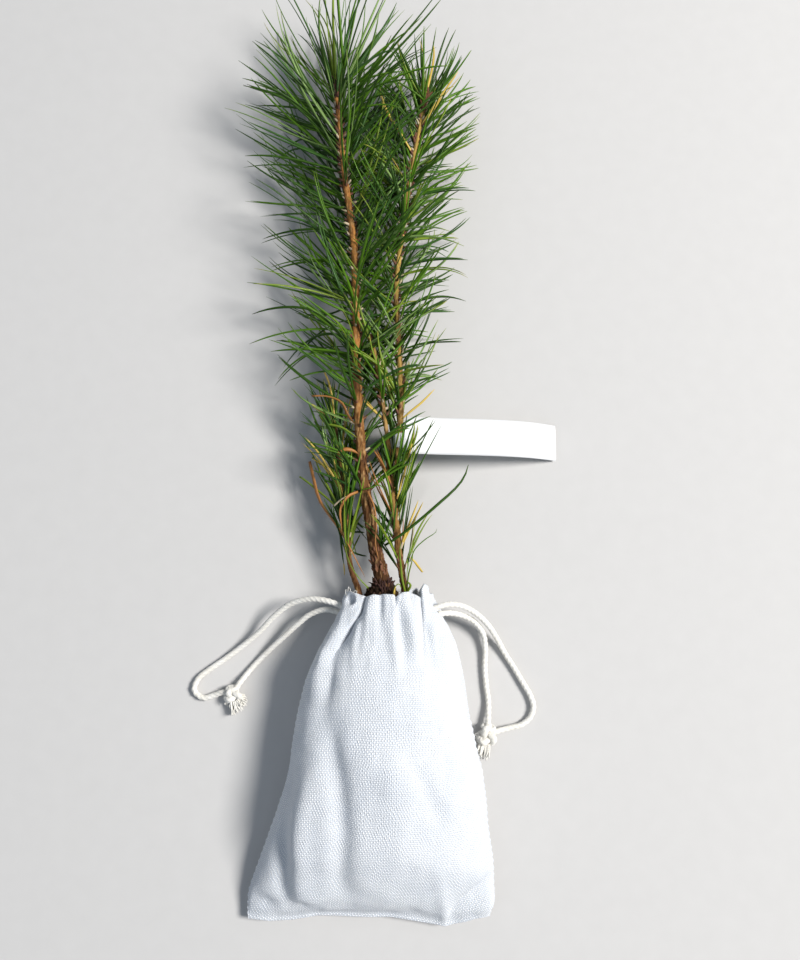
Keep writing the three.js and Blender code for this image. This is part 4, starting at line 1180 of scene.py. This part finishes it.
def grow_mass(mass, dice):
    """The pairs of needles of one mass, by the solids' rule: golden-angle turns up the stem, each pair
    leaving it at an angle, bending a little along the stem and held above the table and below the crown's
    top."""
    _, grown_on, (start, end), longest, pairs, mix, opening = mass
    stem = STEMS[grown_on]
    turn = np.arange(pairs) * GOLDEN_ANGLE + dice.uniform(-0.5, 0.5, pairs)
    turn = (turn + math.pi) % TURN - math.pi
    along = (np.arange(pairs) + dice.uniform(0.05, 0.95, pairs)) / pairs
    share = start + (end - start) * along
    centre, ahead, right, up = stem["line"].frame(share)
    out = outward(right, up, turn)
    near_tip = np.clip((share - TUFT_START) / 0.14, 0, 1)
    spread = dice.uniform(*opening, pairs) - near_tip * dice.uniform(0.3, 0.75, pairs)
    reach = longest * dice.uniform(0.82, 1.06, pairs)
    root = centre + out * (stem["radius"](share) * 0.8)[:, None]
    way = np.cos(spread)[:, None] * ahead + np.sin(spread)[:, None] * out
    sideways = unit(np.cross(way, ahead + 0.01))
    over = np.cross(way, sideways)
    bend = dice.uniform(-0.28, 0.26, (pairs, 1, 1)) * (1 - near_tip)[:, None, None]
    curl = dice.uniform(-0.2, 0.2, (pairs, 1, 1))
    hook = dice.normal(0, 0.09, (pairs, 1, 1))
    t = np.linspace(0, 1, NEEDLE_POINTS)[None, :, None]
    lines = []
    for side in (-1, 1):
        part = side * dice.uniform(0.01, 0.1, pairs)[:, None]
        split = unit(way + sideways * part + over * dice.normal(0, 0.05, (pairs, 1)))
        length = reach * dice.uniform(0.9, 1.0, pairs)
        lowest = (FLOOR_CLEARANCE + 0.6 + dice.uniform(0, 5, pairs) - root[:, 2]) / length
        highest = (CROWN_TOP - dice.uniform(0, 4, pairs) - root[:, 2]) / length
        level = np.clip(split[:, 2], lowest, np.minimum(highest, 0.999))
        flat = np.sqrt((1 - level**2) / (split[:, 0] ** 2 + split[:, 1] ** 2))
        held = np.stack([split[:, 0] * flat, split[:, 1] * flat, level], -1)
        length = length[:, None, None]
        more = curl + dice.normal(0, 0.02, (pairs, 1, 1))
        line = root[:, None] + held[:, None] * length * t
        line = line + (ahead[:, None] * bend + sideways[:, None] * more) * length * t**2
        line = line + over[:, None] * hook * length * t**4
        line[..., 2] = np.clip(line[..., 2], FLOOR_CLEARANCE, CROWN_TOP)
        lines.append(line)
    kinds = dice.choice(len(GREENS), pairs, p=np.array(mix) / sum(mix))
    kept = tag_clear(lines[0]) & tag_clear(lines[1])
    kept &= (np.abs(turn) > BARE_TOP) | (dice.random(pairs) < KEPT_ON_TOP)
    return np.stack(lines, 1)[kept], kinds[kept]


def needle_rings(lines, dice, breadth=NEEDLE_WIDTH):
    """Half-round needles, which twist a little along their length and end in a point."""
    many, points = lines.shape[:2]
    t = np.linspace(0, 1, points)
    width = np.sqrt(np.clip(1 - ((t - 0.36) / 0.645) ** 2, 0.0025, 1)) * 0.5 * breadth
    width = np.maximum(width, 0.05) * dice.uniform(0.82, 1.12, (many, 1))
    start = dice.uniform(0, TURN, (many, 1))
    twist = start + dice.normal(0, 1.1, (many, 1)) * t
    cos, sin = np.cos(twist)[..., None], np.sin(twist)[..., None]
    right, up = NEEDLE_SECTION.T
    profile = np.stack([right * cos - up * sin, right * sin + up * cos], -1)
    return rings_round(lines, profile * width[..., None, None], NEEDLE_REFERENCE)


def scale_lines(stem, part, many, length, splay, dice):
    """Short scales round a part of a stem, leaning out from it."""
    share = dice.uniform(*part, many)
    centre, ahead, right, up = stem["line"].frame(share)
    out = outward(right, up, np.arange(many) * GOLDEN_ANGLE)
    root = centre + out * (stem["radius"](share) * 0.85)[:, None]
    lean = dice.uniform(*splay, many)[:, None]
    way = np.cos(lean) * ahead + np.sin(lean) * out
    t = np.linspace(0, 1, NEEDLE_POINTS)[None, :, None]
    reach = dice.uniform(*length, (many, 1, 1))
    curl = dice.normal(0, 0.2, (many, 1, 1))
    return root[:, None] + (way[:, None] * t + out[:, None] * curl * t**2) * reach


def add_scales(dice):
    """The scales at the trunk's foot and on the buds."""
    dark = Shader("dark_scale", (0.040, 0.014, 0.009), 0.9).material
    warm = Shader("warm_scale", (0.15, 0.06, 0.027), 0.85).material
    for name, groups in SCALES.items():
        skin = Skin()
        for stem, part, many, length, splay, breadth, kind in groups:
            lines = scale_lines(STEMS[stem], part, many, length, splay, dice)
            skin.tubes(needle_rings(lines, dice, breadth), kind)
        skin.piece(name, [dark, warm])


def arc(root, tip, bow, arch):
    """A needle from its root to its tip, whose middle bows towards the crown and arches up."""
    t = np.linspace(0, 1, NEEDLE_POINTS)[:, None]
    chord = np.array(tip) - root
    return root + chord * t + np.array([0, bow, arch]) * np.linalg.norm(chord) * 4 * t * (1 - t)


def single_needles(name):
    """The single needles of one colour, and those of the sprays."""
    places = np.linspace(0, 1, NEEDLE_POINTS)
    lines = [Route(points).at(places) for points in LOOSE_NEEDLES.get(name, ())]
    for first, last, arch, needles in SPRAYS:
        roots = np.linspace(first, last, len(needles))
        for root, (kind, tip, bow) in zip(roots, needles):
            if kind == name:
                lines.append(arc(root, tip, bow, arch))
    return np.array(lines)


def add_sheaths(pairs, dice):
    """The sheath round each pair of needles at its root, and the husks."""
    many = len(pairs)
    roots = pairs[:, :, 0].mean(1)
    ways = unit(pairs[:, :, 2].mean(1) - roots)
    t = np.linspace(0, 1, len(SHEATH_WIDTHS))[:, None]
    stretch = dice.uniform(0.6, 1.1, (many, 1, 1))
    lines = roots[:, None] + ways[:, None] * SHEATH_LENGTH * stretch * (t - 0.1)
    width = np.array(SHEATH_WIDTHS)[:, None, None] * dice.uniform(0.8, 1.15, (many, 1, 1, 1))
    rings = rings_round(lines, circle(SHEATH_SIDES) * width, NEEDLE_REFERENCE)
    pale = dice.random(many) < 0.4
    skin = Skin()
    skin.tubes(rings[~pale])
    skin.tubes(rings[pale], 1)
    skin.tubes(needle_rings(single_needles("husk"), dice), 1)
    dark = Shader("dark_sheath", (0.13, 0.05, 0.026), 0.8).material
    light = Shader("pale_sheath", (0.46, 0.37, 0.25), 0.8).material
    skin.piece("needle_sheaths", [dark, light])


def add_needles():
    """All needles, one piece for each colour. The last span of a needle has the colour of its tip."""
    dice = np.random.default_rng(NEEDLE_SEED)
    grown = [grow_mass(mass, dice) for mass in MASSES]
    pairs, kinds = (np.concatenate(found) for found in zip(*grown))
    nodes = [mass[0] for mass in MASSES]
    spans = np.arange(NEEDLE_POINTS - 1) == NEEDLE_POINTS - 2
    for k, (name, (body, tip)) in enumerate(GREENS.items()):
        single = single_needles(name)
        skin = Skin()
        skin.tubes(needle_rings(pairs[kinds == k].reshape(-1, NEEDLE_POINTS, 3), dice), spans)
        if len(single):
            skin.tubes(needle_rings(single, dice, DEAD_WIDTH if name == "rust" else LOOSE_WIDTH), spans)
        materials = [needle_shader(f"needle_{name}", body), needle_shader(f"needle_{name}_tip", tip, 0.55)]
        skin.piece(f"needles_{name}", materials, nodes if k == 0 else ())
    add_sheaths(pairs, dice)
    add_scales(dice)


# The tag

def add_tag():
    """The plant label's strip, whose narrow tail runs round the right stem."""
    strip = Route([(x, 0, z) for x, z in TAG_STRIP]).at(np.linspace(0, 1, 90))
    stem = STEMS["right_stem"]
    x, _, z = stem["line"].at(TAG_LOOP_SHARE)
    hang = stem["radius"](TAG_LOOP_SHARE) + TAG_GAP + TAG_THICKNESS / 2 - TAG_LOOP_RADIUS
    angles = math.pi * (0.36 + 1.42 * np.linspace(0, 1, 40))
    loop_x, loop_z = x + TAG_LOOP_RADIUS * np.cos(angles), z + hang + TAG_LOOP_RADIUS * np.sin(angles)
    loop = np.stack([loop_x, 0 * angles, loop_z], -1)
    line = np.vstack([strip, loop, loop[-1] + np.array([[2.5, 0, 0.2], [5, 0, 0.6]])])
    line = Route(line[::3].tolist() + [line[-1].tolist()]).at(np.linspace(0, 1, TAG_ROWS))
    on_strip = np.arange(TAG_ROWS) < TAG_ROWS * TAG_STRIP_SHARE
    breadth = np.where(on_strip, swell(line[:, 0], *TAG_NECK), 0)
    half = (TAG_TAIL_WIDTH + (TAG_WIDTH - TAG_TAIL_WIDTH) * breadth) / 2
    line[:, 1] = TAG_TAIL_Y + (TAG_Y - TAG_TAIL_Y) * breadth
    ahead = unit(np.gradient(line * (1, 0, 1), axis=0))
    thick = np.cross(ahead, (0, 1, 0))
    across = np.linspace(1, -1, TAG_COLUMNS)
    across, side = np.concatenate([across, -across]), np.repeat([1, -1], TAG_COLUMNS)
    edge = np.abs(across) == 1
    reach = across * (half[:, None] - TAG_ROUNDING * edge)
    lift = side * (TAG_THICKNESS / 2) * np.where(edge, 0.6, 1)
    rings = line[:, None] + reach[..., None] * np.array([0, 1, 0]) + lift[:, None] * thick[:, None]
    skin = Skin()
    skin.tubes(rings[None])
    skin.piece("plant_tag", [tag_material()], ["tag"])


# The stage

FLOOR_REACH = 4
LIGHTS = (
    ("key_light", (1.86, 0.4, 2.02), 0.9, 120, (1.0, 0.98, 0.95)),
    ("fill_light", (-0.9, -0.3, 1.2), 1.4, 3, (0.82, 0.90, 1.0)),
)
LIGHTS_AIM = (0.0, 0.1, 0.02)
SKY_COLOUR = (0.72, 0.84, 1.0, 1)
SKY_STRENGTH = 0.28


def add_floor():
    mesh = bpy.data.meshes.new("floor")
    corners = [(FLOOR_REACH * x, FLOOR_REACH * y, 0) for x, y in ((-1, -1), (1, -1), (1, 1), (-1, 1))]
    mesh.from_pydata(corners, [], [(0, 1, 2, 3)])
    mesh.materials.append(floor_material())
    floor = bpy.data.objects.new("floor", mesh)
    floor.location.z = -0.02 * MM
    bpy.context.scene.collection.objects.link(floor)


def add_stage():
    """The plain floor, two lights given in metres and watts, and a soft sky."""
    add_floor()
    for name, at, size, power, colour in LIGHTS:
        light = bpy.data.objects.new(name, bpy.data.lights.new(name, "AREA"))
        light.data.shape = "DISK"
        light.data.size = size
        light.data.energy = power
        light.data.color = colour
        light.location = at
        aim = np.array(LIGHTS_AIM) - np.array(at)
        light.rotation_euler = Vector(aim).to_track_quat("-Z", "Y").to_euler()
        bpy.context.scene.collection.objects.link(light)
    world = bpy.data.worlds.new("soft_sky")
    world.use_nodes = True
    sky = world.node_tree.nodes["Background"]
    sky.inputs["Color"].default_value = SKY_COLOUR
    sky.inputs["Strength"].default_value = SKY_STRENGTH
    bpy.context.scene.world = world
    bpy.context.scene.view_settings.view_transform = "Standard"


add_camera()
cotton_yarn = add_cords()
add_bag(canvas_material(), cotton_yarn)
add_root_ball(compost_material())
add_stems()
add_needles()
add_tag()
add_stage()
